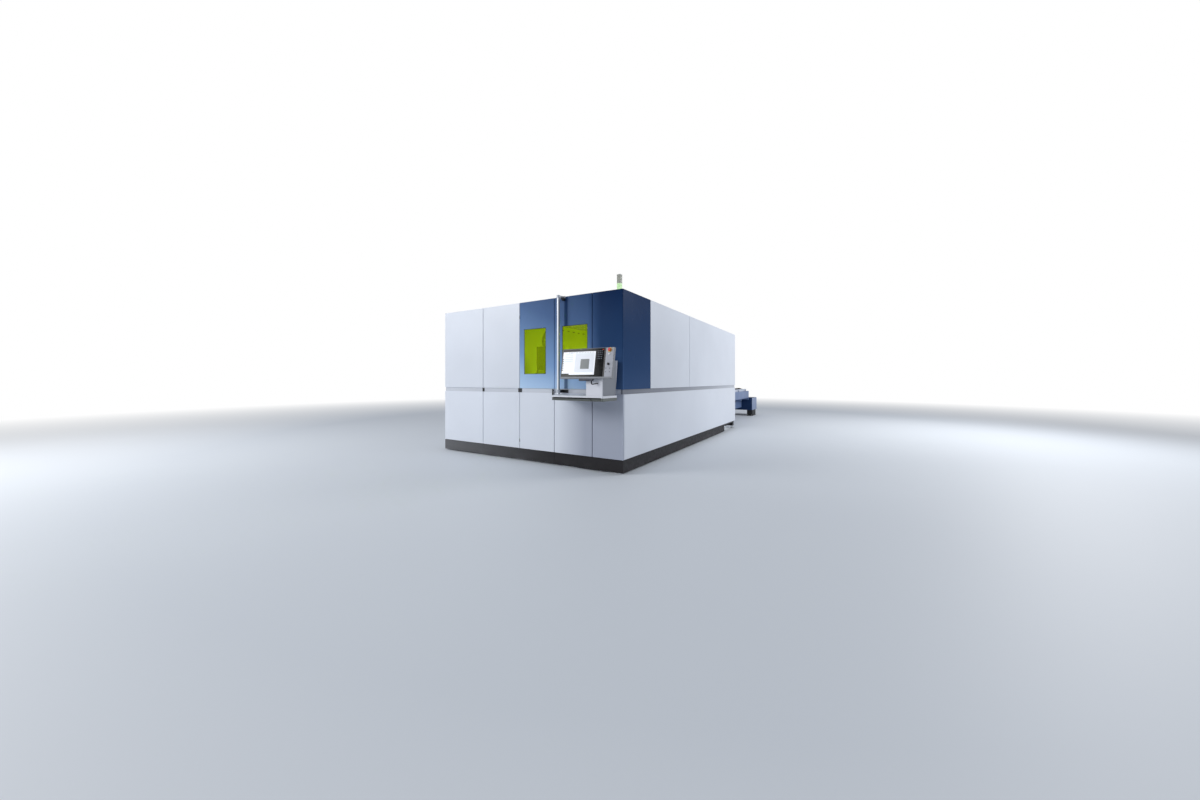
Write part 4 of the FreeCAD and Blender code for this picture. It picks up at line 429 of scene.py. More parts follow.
def filter_glass():
    """Yellow-green filter glass over the lit cutting room, tinted through its thickness, with a
    faint painted glow of the room's light, paler low down.
    """
    f = Finish("filter_glass", 0.02, Transmission_Weight=0.93, IOR=1.08, Specular_IOR_Level=0.1,
               Emission_Strength=0.09)
    foot, head = 1.3, 2.0
    # painted light: the glass itself glows faintly, paler low down
    glow_fade = (f.axis(Z).between(foot, head) * 0.5 + f.noise(1.6, 2) * 0.5).between(0.2, 0.8)
    f.glow(glow_fade.tints(paint(208, 234, 40), paint(194, 222, 16)))
    f.gloss(5, 3, 0.01, 0.03)
    f.relief(f.noise(2.5, 1), 0.0005, 0.03)


def lit_lens(name, colour, glow, strength):
    """A ribbed tower lens, lit from inside."""
    f = Finish(name, 0.25, Transmission_Weight=0.15, Emission_Strength=strength)
    radians_per_metre = 520
    ribs = (f.axis(Z) * radians_per_metre).maths("SINE").between(-1, 1)
    f.glow(ribs.tints(colour, glow))
    f.gloss(80, 2, 0.2, 0.34)
    f.relief(ribs, 0.001, 0.6)


def bracket_paint():
    """The post's brackets: silver rings, a light grey arm at the top and a black one below."""
    f = Finish("bracket_paint", 0.38)
    ring_radius, upper_arm = 0.0262, 1.8
    ring = spot(f.axis(X) - POST_X, f.axis(Y) - POST_Y, ring_radius)
    arm = (f.axis(Z) > upper_arm).tints(paint(30, 31, 34), paint(150, 154, 162))
    tone = ring.tints(arm, paint(196, 202, 210))
    f.colour((f.patches(9, 3) * 0.12).tints(tone, paint(90, 92, 96)))
    f.gloss(60, 3, 0.32, 0.46)
    f.relief(f.noise(400, 2), 0.0002, 0.2)


def console_coat():
    """The console shelf: pale satin top and lip, dark grey-green under the fold."""
    f = Finish("console_coat", 0.4)
    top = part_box("console_shelf")[1][2]
    lip = 0.026
    tone = (f.axis(Z) > top - lip).tints(paint(96, 101, 97), paint(222, 224, 230))
    f.colour((f.patches(2.0, 3) * 0.08).tints(tone, paint(150, 154, 158)))
    f.gloss(3, 4, 0.36, 0.48)
    f.peel()


def pedestal_coat():
    """The pedestal: white front, grey side sheets and a paler strip down their rear edge."""
    f = Finish("pedestal_coat", 0.4)
    low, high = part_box("pedestal")
    skin, strip = 0.0015, 0.045
    side = (f.axis(X) > high[X] - skin) + (f.axis(X) < low[X] + skin)
    rear = f.axis(Y) > high[Y] - strip
    grey = rear.tints(paint(128, 132, 140), paint(176, 180, 190))
    f.colour(side.clamped().tints(paint(224, 225, 232), grey))
    f.gloss(3, 4, 0.36, 0.48)
    f.peel()


def cutting_head_metal():
    """Anodised head with a white ceramic ring and a copper nozzle at its tip."""
    f = Finish("cutting_head_metal", 0.3, 0.75)
    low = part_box("cutting_head_assembly")[0][2]
    nozzle_top, ring_top, drive_foot = low + 0.035, low + 0.05, low + 0.36
    up = f.axis(Z)
    brush = f.noise(8, 3, 0.5, f.stretched(60, 60, 800)).between(0.3, 0.7)
    body = brush.tints(paint(120, 124, 130), paint(160, 164, 170))
    black = (up > drive_foot).tints(body, paint(34, 36, 40))
    ring = up.within(nozzle_top, ring_top).tints(black, paint(226, 222, 210))
    f.colour((up < nozzle_top).tints(ring, paint(196, 118, 70)))
    f.drive("Roughness", brush.between(0, 1, 0.24, 0.4))
    f.relief(brush, 0.0002, 0.2)


def screen_page():
    """Black front glass with a plain machine page: a list at the left, a drawing field with one
    dark sheet, rows of small marks along its edges and a black key bar at the right."""
    f = Finish("screen_page", 0.12, Emission_Strength=0.3, Specular_IOR_Level=0.12)
    low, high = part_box("screen_glass")
    width, height = high[X] - low[X], high[Z] - low[Z]
    u = (f.axis(X) - low[X]) / width
    v = (f.axis(Z) - low[Z]) / height
    ink = paint(96, 101, 110)
    page = u.within(0.018, 0.80) * v.within(0.075, 0.905)
    page = page * ((v > 0.12) + (u > 0.2)).clamped()
    tone = page.tints(GLASS_BLACK, paint(238, 240, 244))
    columns = (u * 26.0).maths("FRACT").within(0.25, 0.75)
    rows = (v * 15.0).maths("FRACT").within(0.3, 0.72)
    # Each area: its reach across and up the glass in shares, what breaks it up, its colour.
    for across, up, patterns, colour in (
            ((0.325, 0.775), (0.16, 0.845), (), paint(214, 218, 224)),  # drawing field
            ((0.46, 0.667), (0.28, 0.634), (), paint(112, 116, 116)),  # sheet
            ((0.15, 0.76), (0.862, 0.882), (columns,), ink),  # tool marks
            ((0.018, 0.05), (0.2, 0.66), (rows,), paint(30, 40, 34)),  # list marks
            ((0.07, 0.27), (0.5, 0.88), (rows,), paint(206, 211, 219)),  # list
            ((0.83, 0.95), (0.62, 0.93), (columns, rows), ink),  # key bar
            ((0.955, 0.975), (0.93, 0.96), (), paint(190, 40, 30))):  # lamp
        area = u.within(*across) * v.within(*up)
        for pattern in patterns:
            area = area * pattern
        tone = area.tints(tone, colour)
    f.glow(tone)
    f.gloss(9, 3, 0.08, 0.16)
    f.relief(f.noise(30, 1), 0.0001, 0.02)


def strip_face():
    """The light control strip, its four dark lamps and the black glass edge at its left."""
    f = Finish("strip_face", 0.4)
    lamps_across, lamps_down, half_width, half_height = 0.315, 0.0875, 0.026, 0.0215
    lamp_radius, glass_edge = 0.0064, 0.272
    u, w = f.on_monitor()
    beside = (u - lamps_across).maths("ABSOLUTE") - half_width
    above = (w + lamps_down).maths("ABSOLUTE") - half_height
    tone = f.patches(5, 3).tints(paint(152, 155, 164), paint(166, 169, 178))
    tone = spot(beside, above, lamp_radius).tints(tone, paint(84, 88, 96))
    f.colour((u < glass_edge).tints(tone, GLASS_BLACK))
    f.gloss(30, 3, 0.34, 0.46)
    f.relief(f.noise(420, 2), 0.0003, 0.2)


def shell_moulding():
    """The monitor's grey shell, with the dark cover of its connectors under the chin."""
    f = Finish("shell_moulding", 0.5)
    chin = -0.1895
    cover = f.on_monitor()[1] < chin
    tone = f.noise(7, 4).between(0.35, 0.75).tints(paint(122, 125, 130), paint(138, 141, 147))
    f.colour(cover.tints(tone, paint(46, 50, 64)))
    f.gloss(40, 3, 0.44, 0.58)
    f.relief(f.noise(900, 2), 0.0002, 0.4)


def post_silver():
    """The swing post, satin anodised along its length, darker on the side turned from light."""
    f = Finish("post_silver", 0.34, 0.15)
    lines = f.noise(6, 4, 0.6, f.stretched(400, 400, 3)).between(0.3, 0.7)
    tone = lines.tints(paint(238, 242, 248), paint(250, 252, 255))
    shade_start, shade_end = POST_X + 0.01, POST_X + 0.017
    shade = f.axis(X).between(shade_start, shade_end)
    f.colour((shade * 0.8).tints(tone, paint(92, 98, 108)))
    f.drive("Roughness", lines.between(0.0, 1.0, 0.28, 0.42))
    f.relief(lines, 0.0002, 0.15)


def lamp_glow():
    """The opal cover of a working light inside the cutting room."""
    f = Finish("lamp_glow", 0.4, Emission_Strength=120.0)
    f.glow(f.patches(6, 2).tints(paint(236, 244, 255), paint(250, 252, 255)))


WHITE = paint(216, 221, 230)
FRONT_WHITE = paint(220, 225, 234)
BAND_GREY = paint(200, 204, 212)
GLASS_BLACK = paint(9, 10, 12)
ROOF_SPLIT, DOOR_SPLIT = 2.3415, 1.035  # heights at which their colour changes

powder_coat("white_panel", WHITE)
louvred_coat("left_white", WHITE)
banded_coat("roof_white", paint(104, 110, 116), paint(214, 219, 228), ROOF_SPLIT)
banded_coat("door_white", FRONT_WHITE, BAND_GREY, DOOR_SPLIT)
shaded_coat("front_white", FRONT_WHITE, paint(166, 172, 187))
trim_coat("band_grey", BAND_GREY, paint(96, 100, 112))
powder_coat("inner_white", paint(226, 229, 232), shade=0.95, rough=0.5)
powder_coat("changer_paint", paint(96, 118, 158), shade=0.86, rough=0.4)
powder_coat("pallet_paint", paint(196, 202, 214), shade=0.8, rough=0.5)
powder_coat("cabinet_grey", paint(196, 199, 202))
powder_coat("drawer_grey", paint(74, 79, 76), shade=0.9, rough=0.45)
dull_paint("frame_grey", paint(84, 89, 98), paint(104, 109, 116))
dull_paint("leg_black", paint(22, 23, 25), paint(84, 85, 88))
hammered_paint("bed_paint", paint(120, 126, 134), paint(146, 151, 158))
hammered_paint("gantry_paint", paint(26, 29, 34), paint(44, 48, 55))
mould("chain_plastic", paint(34, 35, 38), rough=0.55, grain=500, depth=0.0004)
mould("black_plastic", paint(30, 31, 33))
mould("key_plastic", paint(38, 39, 42), rough=0.55)
mould("dark_steel", paint(36, 37, 40), rough=0.45, grain=300, depth=0.0003)
mould("tower_grey", paint(150, 152, 144), rough=0.45)
for name, colour, rough, lighter in (("switch_yellow", paint(230, 190, 30), 0.4, 1.05),
                                     ("collar_yellow", paint(226, 186, 44), 0.35, 1.08),
                                     ("stop_red", paint(204, 26, 30), 0.3, 1.1),
                                     ("button_white", paint(228, 228, 224), 0.3, 1.03)):
    mould(name, colour, rough, grain=1200, depth=0.0001, lighter=lighter)
rubber("gasket_rubber", paint(24, 24, 25))
rubber("cable_rubber", paint(20, 20, 22))
lit_lens("lens_green", paint(150, 186, 126), paint(196, 226, 178), strength=0.5)
lit_lens("lens_grey", paint(140, 142, 130), paint(166, 168, 156), strength=0.08)
for make in (navy_gloss, skirting_black, unit_paint, ground_steel, fixing_steel, zinc, sooty_slat,
             filter_glass, bracket_paint, console_coat, pedestal_coat, cutting_head_metal,
             screen_page, strip_face, shell_moulding, post_silver, lamp_glow):
    make()

dressed = {
    "white_panel": ["rear_wall", "front_panels_upper", "side_panels_upper", "side_panel_lower",
                    "rear_gate"],
    "front_white": ["front_panels_lower"],
    "left_white": ["left_panels"],
    "door_white": ["door_panel_lower"],
    "roof_white": ["roof"],
    "band_grey": ["trim_band"],
    "navy_gloss": ["front_panel_window", "corner_panel", "door_panel"],
    "plinth_black": ["base_frame", "plinth_covers"],
    "frame_grey": ["enclosure_frame"],
    "inner_white": ["chamber_partition"],
    "leg_black": ["changer_legs"],
    "bed_paint": ["bed_frame"],
    "gantry_paint": ["gantry_beam", "carriage"],
    "changer_paint": ["changer_frame", "inner_tracks"],
    "unit_paint": ["changer_end_unit"],
    "pallet_paint": ["upper_pallet", "lower_pallet"],
    "sooty_slat": ["upper_pallet_slats", "lower_pallet_slats"],
    "ground_steel": ["guide_rails"],
    "zinc": ["extraction_spigot", "levelling_feet"],
    "cabinet_grey": ["control_cabinet", "laser_source"],
    "cutting_head_metal": ["cutting_head_assembly"],
    "chain_plastic": ["energy_chain"],
    "gasket_rubber": ["fixed_window_gasket", "door_window_gasket"],
    "filter_glass": ["fixed_window_glass", "door_window_glass"],
    "dark_steel": ["hinge_leaves_fixed", "hinge_leaves_door", "monitor_mount"],
    "bracket_paint": ["post_brackets"],
    "black_plastic": ["door_handle", "selector_knob"],
    "post_silver": ["swing_post"],
    "console_coat": ["console_shelf"],
    "pedestal_coat": ["pedestal"],
    "drawer_grey": ["keyboard_drawer"],
    "key_plastic": ["keyboard"],
    "shell_moulding": ["monitor_housing"],
    "screen_page": ["screen_glass"],
    "strip_face": ["control_strip"],
    "collar_yellow": ["stop_collar"],
    "stop_red": ["stop_button"],
    "button_white": ["start_button"],
    "tower_grey": ["tower_ends"],
    "lens_green": ["tower_lens_green"],
    "lens_grey": ["tower_lens_upper"],
}
for finish, names in dressed.items():
    for name in names:
        mesh = nodes[name].data
        mesh.materials.clear()
        mesh.materials.append(finishes[finish])


# ---- modelling --------------------------------------------------------------------------------

SAME_WAY = 0.9  # least cosine between a face and the way that it's said to face


def clear_selection():
    """Back to object mode with nothing selected."""
    if bpy.context.mode != "OBJECT":
        bpy.ops.object.mode_set(mode="OBJECT")
    bpy.ops.object.select_all(action="DESELECT")


def just_added(name):
    """The object just added, named, its place and turn taken into its mesh."""
    piece = bpy.context.object
    piece.name = name
    bpy.ops.object.transform_apply(location=True, rotation=True, scale=True)
    return piece


def block(name, low, high):
    """A box between two corners, the start of a piece."""
    clear_selection()
    middle = [(a + b) / 2 for a, b in zip(low, high)]
    bpy.ops.mesh.primitive_cube_add(size=1, location=middle,
                                    scale=[b - a for a, b in zip(low, high)])
    return just_added(name)


def bar(name, foot, way, length, radius, sides=24):
    """A round bar from foot along one of the axes, the start of a turned piece."""
    clear_selection()
    quarter = math.pi / 2
    axis = next(index for index in (X, Y, Z) if way[index])
    turn = ((0, quarter, 0), (quarter, 0, 0), (0, 0, 0))[axis]
    middle = [start + along * length / 2 for start, along in zip(foot, way)]
    bpy.ops.mesh.primitive_cylinder_add(vertices=sides, radius=radius, depth=length,
                                        location=middle, rotation=turn)
    return just_added(name)


def pick_faces(piece, way):
    """Into edit mode with only the faces that look the given way."""
    clear_selection()
    bpy.context.view_layer.objects.active = piece
    bpy.ops.object.mode_set(mode="EDIT")
    bpy.ops.mesh.select_mode(type="FACE")
    bpy.ops.mesh.select_all(action="DESELECT")
    shape = bmesh.from_edit_mesh(piece.data)
    for face in shape.faces:
        face.select = face.normal.dot(way) > SAME_WAY
    bmesh.update_edit_mesh(piece.data)


def sink(border, depth, way):
    """Insets the picked faces behind a border and moves them along the way."""
    bpy.ops.mesh.inset(thickness=border)
    bpy.ops.mesh.extrude_region_move(TRANSFORM_OT_translate={"value": tuple(depth * way)})


def let_in(piece, way, border, depth):
    """The faces that look the given way, let in behind a border."""
    pick_faces(piece, way)
    sink(border, -depth, way)
    clear_selection()
    return piece


def tapered(piece, way, factors):
    """The faces that look the given way, drawn in by the factors."""
    pick_faces(piece, way)
    bpy.ops.transform.resize(value=factors)
    clear_selection()
    return piece


def recessed_block(name, low, high, way, border, depth):
    """A box whose face that looks the given way is let in behind a border."""
    return let_in(block(name, low, high), way, border, depth)


def coated(piece, finish):
    piece.data.materials.append(finishes[finish])
    return piece


def joined(name, pieces):
    """The pieces, each with its own finish, as one object."""
    clear_selection()
    for piece in pieces:
        piece.select_set(True)
    bpy.context.view_layer.objects.active = pieces[0]
    if len(pieces) > 1:
        bpy.ops.object.join()
    pieces[0].name = name
    return pieces[0]


def copies(model, moves, name):
    """The model copied to each move, each copy with its own mesh, joined as one piece."""
    clear_selection()
    made = []
    for move in moves:
        twin = model.copy()
        twin.data = model.data.copy()
        twin.data.transform(Matrix.Translation(move))
        bpy.context.collection.objects.link(twin)
        made.append(twin)
    bpy.data.objects.remove(model)
    return joined(name, made)


def done(piece, body, bevel, angle=30):
    """Back to object mode, edges broken, body given."""
    clear_selection()
    bpy.context.view_layer.objects.active = piece
    piece.select_set(True)
    edge = piece.modifiers.new("edge", "BEVEL")
    edge.width = bevel
    edge.segments = 2
    edge.limit_method = "ANGLE"
    bpy.ops.object.modifier_apply(modifier="edge")
    bpy.ops.object.shade_smooth_by_angle(angle=math.radians(angle))
    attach(piece, body)


def leant(piece):
    """The piece, built upright round the monitor's middle, turned to its tilt."""
    turn = Matrix.Rotation(-LEAN, 4, "X")
    piece.data.transform(Matrix.Translation(MONITOR) @ turn @ Matrix.Translation(-MONITOR))
    return piece


def louvred_plate(name, low, high, count):
    """An air outlet on the rear wall: a flanged frame round sloping blades, with four screws, and
    a black sheet behind the blades as painted shade in their gaps.
    """
    border, blade_share, blade_slope = 0.028, 0.6, 0.0055
    backing_foot, backing_top, blade_foot, blade_top = 0.002, 0.0038, 0.0036, 0.0056
    screw_length = 0.005
    plate = recessed_block(name, low, high, BACK, border, depth=0.009)
    left, right = low[X] + border, high[X] - border
    foot, head = low[Z] + border, high[Z] - border
    pitch = (high[Z] - low[Z] - 2 * border) / count
    blade = block("blade", (left, low[Y] + blade_foot, foot),
                  (right, low[Y] + blade_top, foot + pitch * blade_share))
    pick_faces(blade, -UP)
    bpy.ops.transform.translate(value=(0, blade_slope, 0))
    blades = copies(blade, [Vector((0, 0, i * pitch)) for i in range(count)], "blades")
    # a black sheet behind the blades: painted shade in their gaps
    shade_backing = block("shade_backing", (left, low[Y] + backing_foot, foot),
                    (right, low[Y] + backing_top, head))
    inset = border / 2
    screw = bar("screw", (0, high[Y] - screw_length / 2, 0), BACK, screw_length, 0.006, sides=12)
    let_in(screw, BACK, border=0.002, depth=0.0015)
    screws = copies(coated(screw, "fixing_steel"),
                    [Vector((x, 0, z)) for x in (low[X] + inset, high[X] - inset)
                     for z in (low[Z] + inset, high[Z] - inset)], "screws")
    whole = joined(name, [coated(plate, "white_panel"), coated(blades, "white_panel"),
                          coated(shade_backing, "gasket_rubber"), screws])
    done(whole, "machine", bevel=0.0008)


def main_switch(x, y, z):
    """The rotary main switch: a yellow plate, a black collar and a red turning lever."""
    half, grip_half, grip_reach = 0.055, 0.010, 0.04
    plate = recessed_block("switch_plate", (x - half, y, z - half),
                           (x + half, y + 0.004, z + half), BACK, border=0.004, depth=0.001)
    collar = bar("switch_collar", (x, y + 0.003, z), BACK, length=0.018, radius=0.036, sides=32)
    let_in(collar, BACK, border=0.006, depth=0.004)
    lever = bar("switch_lever", (x, y + 0.015, z), BACK, length=0.018, radius=0.024, sides=32)
    grip = tapered(block("switch_grip", (x - grip_half, y + 0.016, z - grip_reach),
                         (x + grip_half, y + 0.046, z + grip_reach)), BACK, (0.7, 1, 0.86))
    whole = joined("main_switch", [coated(plate, "switch_yellow"), coated(collar, "black_plastic"),
                                   coated(lever, "stop_red"), coated(grip, "stop_red")])
    done(whole, "machine", bevel=0.0015)


def gland_row(name, start, count, out):
    """Cable glands in a row along X: hexagon bodies, domed nuts and blanking pegs."""
    pitch, dome = 0.06, 0.75
    start = Vector(start)
    base = bar("gland_base", start, out, length=0.010, radius=0.017, sides=6)
    nut = bar("gland_nut", start + out * 0.010, out, length=0.020, radius=0.015, sides=6)
    tapered(nut, out, (dome, 1, dome))
    peg = bar("gland_peg", start + out * 0.026, out, length=0.012, radius=0.007, sides=16)
    whole = joined("gland", [coated(base, "black_plastic"), coated(nut, "black_plastic"),
                             coated(peg, "gasket_rubber")])
    row = copies(whole, [RIGHT * (i * pitch) for i in range(count)], name)
    done(row, "machine", bevel=0.001)


def roof_hatch(low, high):
    """A lifting hatch on the roof sheet: a raised lid with a turned rim and two bow handles."""
    rise, sunk, leg, bar_height = 0.012, 0.003, 0.03, 0.031
    radius, handle_inset, half_span = 0.006, 0.12, 0.07
    lid = block("roof_hatch", low, high)
    pick_faces(lid, UP)
    sink(0.03, rise, UP)
    bpy.ops.mesh.inset(thickness=0.02)
    middle = (low[Y] + high[Y]) / 2
    foot = high[Z] + rise - sunk
    handles = []
    for x in (low[X] + handle_inset, high[X] - handle_inset):
        for y in (middle - half_span, middle + half_span):
            handles.append(bar("handle_leg", (x, y, foot), UP, leg, radius, sides=16))
        handles.append(bar("handle_bar", (x, middle - half_span - radius, foot + bar_height),
                           BACK, 2 * (half_span + radius), radius, sides=16))
    whole = joined("roof_hatch", [coated(lid, "white_panel")]
                   + [coated(piece, "fixing_steel") for piece in handles])
    done(whole, "machine", bevel=0.002)


def eyebolts(places):
    """Lifting eyes: a collar, a shank and a ring."""
    collar = bar("eye_collar", (0, 0, 0), UP, length=0.008, radius=0.022)
    shank = bar("eye_shank", (0, 0, 0.006), UP, length=0.016, radius=0.010, sides=16)
    clear_selection()
    bpy.ops.mesh.primitive_torus_add(major_radius=0.022, minor_radius=0.006, major_segments=24,
                                     minor_segments=10, location=(0, 0, 0.044),
                                     rotation=(math.pi / 2, 0, 0))
    ring = just_added("eye_ring")
    whole = joined("eyebolt", [coated(piece, "fixing_steel") for piece in (collar, shank, ring)])
    done(copies(whole, places, "lifting_eyes"), "machine", bevel=0.001, angle=40)


def anchor_nuts(places):
    """Floor anchors through the changer's foot plates: washer, hexagon nut and threaded end."""
    washer = bar("washer", (0, 0, 0), UP, length=0.003, radius=0.0165)
    nut = bar("nut", (0, 0, 0.003), UP, length=0.013, radius=0.0145, sides=6)
    pick_faces(nut, UP)
    bpy.ops.mesh.inset(thickness=0.002)
    bpy.ops.transform.translate(value=(0, 0, 0.001))
    end = bar("stud_end", (0, 0, 0.015), UP, length=0.012, radius=0.008, sides=16)
    whole = joined("anchor", [coated(piece, "fixing_steel") for piece in (washer, nut, end)])
    done(copies(whole, places, "floor_anchors"), "machine", bevel=0.0005)


def monitor_vents():
    """Raised ribs of the air grille on the monitor's back, between two screwed pads."""
    count, pitch, width, half_height, rise = 16, 0.016, 0.007, 0.06, 0.004
    back, sunk = MONITOR.y + 0.045, 0.001
    first = MONITOR.x - 0.300
    rib = tapered(block("rib", (first, back - sunk, MONITOR.z - half_height),
                        (first + width, back + rise, MONITOR.z + half_height)),
                  BACK, (0.6, 1, 0.95))
    ribs = copies(rib, [Vector((pitch * i, 0, 0)) for i in range(count)], "ribs")
    pad_left, pad_right, pad_rise, pad_height = MONITOR.x - 0.31, MONITOR.x - 0.04, 0.003, 0.02
    pads = [recessed_block("pad", (pad_left, back - sunk, MONITOR.z + foot),
                           (pad_right, back + pad_rise, MONITOR.z + foot + pad_height),
                           BACK, border=0.004, depth=0.001) for foot in (-0.09, 0.07)]
    whole = joined("monitor_vents", [coated(piece, "black_plastic") for piece in [ribs] + pads])
    done(leant(whole), "monitor", bevel=0.0006)


def rounded_route(corners, share, steps):
    """The route through the corners, each turned by an arc that takes share of its shorter run."""
    route = [corners[0]]
    for before, corner, after in zip(corners, corners[1:], corners[2:]):
        back, ahead = (before - corner).normalized(), (after - corner).normalized()
        reach = share * min((before - corner).length, (after - corner).length)
        half_turn = (math.pi - back.angle(ahead)) / 2
        radius = reach / math.tan(half_turn)
        centre = corner + (back + ahead).normalized() * radius / math.cos(half_turn)
        first = (corner + back * reach - centre).normalized()
        last = (corner + ahead * reach - centre).normalized()
        route += [centre + first.slerp(last, i / steps) * radius for i in range(steps + 1)]
    return route + [corners[-1]]


def monitor_lead():
    """The short lead from under the monitor to the pedestal, laid along one fixed route."""
    clear_selection()
    curve = bpy.data.curves.new("monitor_lead", "CURVE")
    curve.dimensions = "3D"
    curve.bevel_depth = LEAD_RADIUS
    curve.bevel_resolution = 3
    curve.use_fill_caps = True
    route = rounded_route(LEAD_CORNERS, share=0.45, steps=8)
    spline = curve.splines.new("POLY")
    spline.points.add(len(route) - 1)
    for point, place in zip(spline.points, route):
        point.co = (*place, 1.0)
    lead = bpy.data.objects.new("monitor_lead", curve)
    bpy.context.collection.objects.link(lead)
    bpy.context.view_layer.objects.active = lead
    lead.select_set(True)
    bpy.ops.object.convert(target="MESH")
    lead = coated(bpy.context.object, "cable_rubber")
    bpy.ops.object.shade_smooth_by_angle(angle=math.radians(50))
    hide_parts("monitor_cable")
    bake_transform(lead)


def slot_shade_inserts():
    """Dark inserts behind the air slots of the chamber's partition: painted shade in the slots."""
    count, pitch = 25, 0.19
    model = recessed_block("filter", (-0.8190, -4.475, 2.249), (-0.8132, -4.375, 2.283), RIGHT,
                           border=0.006, depth=0.002)
    row = copies(coated(model, "gasket_rubber"),
                 [Vector((0, pitch * i, 0)) for i in range(count)], "slot_shade_inserts")
    done(row, "machine", bevel=0.0008)


def junction_box(low, high):
    """The changer's terminal box, its lid let in and held by four screws."""
    inset = 0.016
    box = recessed_block("junction_box", low, high, -RIGHT, border=0.008, depth=0.002)
    screw = bar("screw", (low[X] - 0.001, 0, 0), RIGHT, length=0.004, radius=0.004, sides=12)
    screws = copies(coated(screw, "fixing_steel"),
                    [Vector((0, y, z)) for y in (low[Y] + inset, high[Y] - inset)
                     for z in (low[Z] + inset, high[Z] - inset)], "screws")
    whole = joined("junction_box", [coated(box, "cabinet_grey"), screws])
    done(whole, "machine", bevel=0.0015)


def small_fittings():
    """The cap over the seam beside the door's panel, the clamp under the top arm, the drawer's
    catch."""
    cap = recessed_block("seam_cap", (-0.829, -5.0545, 1.039), (-0.797, -5.043, 1.096),
                         -BACK, border=0.004, depth=0.001)
    done(coated(cap, "black_plastic"), "machine", bevel=0.0015)
    clamp = tapered(block("arm_clamp", (0.826, -5.104, 2.340), (0.866, -5.0552, 2.3742)),
                    -UP, (0.8, 0.8, 1))
    done(coated(clamp, "black_plastic"), "machine", bevel=0.002)
    catch = bar("drawer_catch", (1.5856, -5.505, 0.981), -BACK, length=0.007, radius=0.008)
    let_in(catch, -BACK, border=0.002, depth=0.001)
    done(coated(catch, "black_plastic"), "drawer", bevel=0.0008)


def working_light(name, start):
    """A light bar under the roof, its opal cover let into the housing."""
    length = 1.5
    piece = block(name, (1.50, start, 2.300), (1.60, start + length, 2.338))
    coated(coated(piece, "dark_steel"), "lamp_glow")
    pick_faces(piece, -UP)
    sink(0.012, 0.006, UP)
    shape = bmesh.from_edit_mesh(piece.data)
    for face in shape.faces:
        if face.select:
            face.material_index = 1
    bmesh.update_edit_mesh(piece.data)
    done(piece, "machine", bevel=0.003)


def keyboard_keys():
    """Five rows of keys and a space bar, standing on the keyboard."""
    low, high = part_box("keyboard")
    columns, row_pitch, column_pitch, key, rise = 15, 0.0225, 0.0255, 0.021, 0.006
    space_start, space_end, gap = 3, 12, 0.004
    model = tapered(block("key", (0, 0, 0), (key, key, rise)), UP, (0.8, 0.8, 1))
    first = Vector((low[X] + 0.022, low[Y] + 0.014, high[Z] - 0.001))
    moves = [first + Vector((column * column_pitch, row * row_pitch, 0))
             for row in range(5) for column in range(columns)
             if row or not space_start <= column < space_end]
    keys = copies(model, moves, "keyboard_keys")
    space = block("space_bar", first + Vector((space_start * column_pitch, 0, 0)),
                  first + Vector((space_end * column_pitch - gap, key, rise)))
    whole = coated(joined("keyboard_keys", [keys, space]), "key_plastic")
    done(whole, "drawer", bevel=0.0008)


def corners_of(xs, ys, height):
    return [Vector((x, y, height)) for x in xs for y in ys]


def around(x, y, half_width, half_length, height):
    """The four points of a rectangle round x, y."""
    return corners_of((x - half_width, x + half_width), (y - half_length, y + half_length), height)


for label, start in (("front", -4.70), ("middle", -2.90), ("rear", -1.10)):
    working_light("working_light_" + label, start)
keyboard_keys()
small_fittings()
monitor_lead()
slot_shade_inserts()
monitor_vents()
for label, foot, head, blades in (("low", 0.42, 0.86, 14), ("high", 1.12, 1.44, 10)):
    louvred_plate("rear_louvre_" + label, (-1.55, REAR_WALL, foot),
                  (-0.80, REAR_WALL + 0.012, head), blades)
main_switch(-0.62, REAR_WALL, 1.50)
gland_row("rear_glands", (-1.50, REAR_WALL, 0.28), 6, BACK)
junction_box((-0.453, BOX_FRONT, 0.66), (-0.393, 2.78, 0.80))
gland_row("changer_glands", (-0.44, BOX_FRONT, 0.69), 1, -BACK)
roof_hatch((-1.35, -2.86, ROOF_SHEET), (-0.45, -2.17, 2.365))
eyebolts(corners_of((-1.64, 1.64), (-4.85, 0.80), ROOF_SHEET))
front_plates = [place for x in (-0.398, 1.392)
                for place in around(x, 1.35, 0.07, 0.07, PLATE_TOP)]
end_plates = [place for x in (-0.415, 1.409)
              for place in around(x, 5.065, 0.064, 0.305, PLATE_TOP)]
anchor_nuts(front_plates + end_plates)


# ---- stage ------------------------------------------------------------------------------------

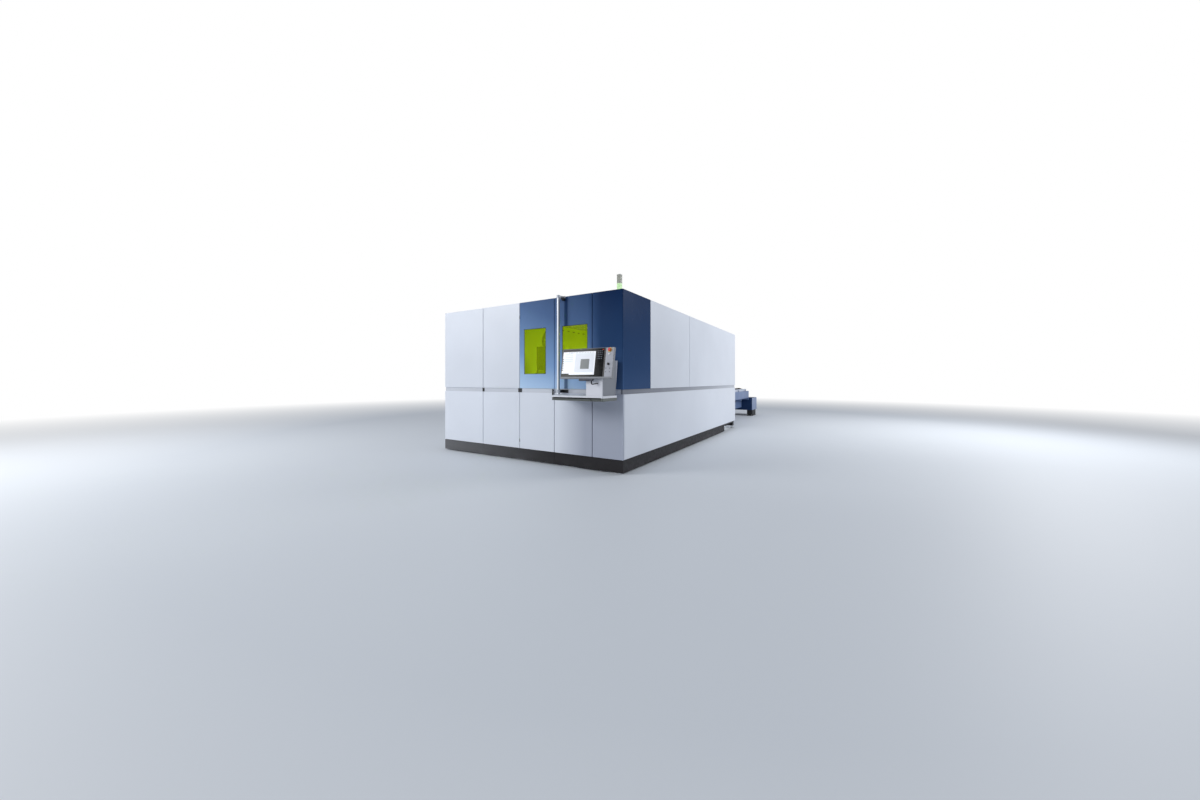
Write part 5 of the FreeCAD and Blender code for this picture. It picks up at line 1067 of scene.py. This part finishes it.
def pale_floor():
    """A plain floor, pale blue-grey near the machine and white where it runs out."""
    clear_selection()
    bpy.ops.mesh.primitive_plane_add(size=400, location=(0, 0, 0))
    floor = bpy.context.object
    floor.name = "floor"
    f = Finish("pale_floor", 0.55)
    fade_start, fade_end = 9.0, 20.0
    far = f.place.via("VectorMath", out="Value", operation="LENGTH").between(fade_start, fade_end)
    f.colour(f.noise(0.3, 3).tints(paint(212, 217, 223), paint(218, 223, 228)))
    shown = seen_by(f.tree, "Camera", "Glossy", "Transmission") * far
    white = f.tree.nodes.new("ShaderNodeEmission")
    mix = f.tree.nodes.new("ShaderNodeMixShader")
    end = next(n for n in f.tree.nodes if n.type == "OUTPUT_MATERIAL")
    feeds = (shown.socket, f.shader.outputs["BSDF"], white.outputs["Emission"])
    for target, source in zip(mix.inputs, feeds):
        f.tree.links.new(source, target)
    f.tree.links.new(mix.outputs["Shader"], end.inputs["Surface"])
    floor.data.materials.append(f.material)


def white_surroundings():
    """White behind the machine, a dim cool room in its reflections and on its surfaces."""
    world = bpy.data.worlds.new("surroundings")
    bpy.context.scene.world = world
    world.use_nodes = True
    tree = world.node_tree
    back = next(n for n in tree.nodes if n.type == "BACKGROUND")
    seen = seen_by(tree, "Camera", "Transmission")
    strength = seen.between(0.0, 1.0, 0.6, 1.0)
    colour = seen.tints(paint(226, 231, 240), paint(255, 255, 255))
    tree.links.new(strength.socket, back.inputs["Strength"])
    tree.links.new(colour.socket, back.inputs["Color"])


def soft_lamp(name, place, aim, size, watts):
    lamp = bpy.data.lights.new(name, "AREA")
    lamp.shape = "RECTANGLE"
    lamp.size, lamp.size_y = size
    lamp.energy = watts
    holder = bpy.data.objects.new(name, lamp)
    holder.location = place
    holder.rotation_euler = (Vector(aim) - Vector(place)).to_track_quat("-Z", "Y").to_euler()
    bpy.context.collection.objects.link(holder)


def photograph_camera():
    """The camera worked out from the photograph's vanishing points."""
    camera = bpy.data.cameras.new("camera")
    camera.sensor_fit = "HORIZONTAL"
    camera.sensor_width = 36
    camera.lens = 11.81
    camera.shift_x = 0.0004
    camera.shift_y = -0.0162
    camera.clip_start = 0.05
    camera.clip_end = 500
    holder = bpy.data.objects.new("camera", camera)
    holder.location = (4.214, -9.510, 1.2154)
    holder.rotation_euler = (math.pi / 2, 0, math.radians(31.98))
    bpy.context.collection.objects.link(holder)
    bpy.context.scene.camera = holder


pale_floor()
white_surroundings()
soft_lamp("left_front", place=(-6.5, -12.5, 5.2), aim=(-1.2, -5.0, 0.9), size=(5, 4), watts=600)
soft_lamp("right_rear", place=(8.5, 2.5, 5.0), aim=(1.8, 0.6, 1.2), size=(5, 3), watts=420)
photograph_camera()
bpy.context.scene.view_settings.view_transform = "Standard"
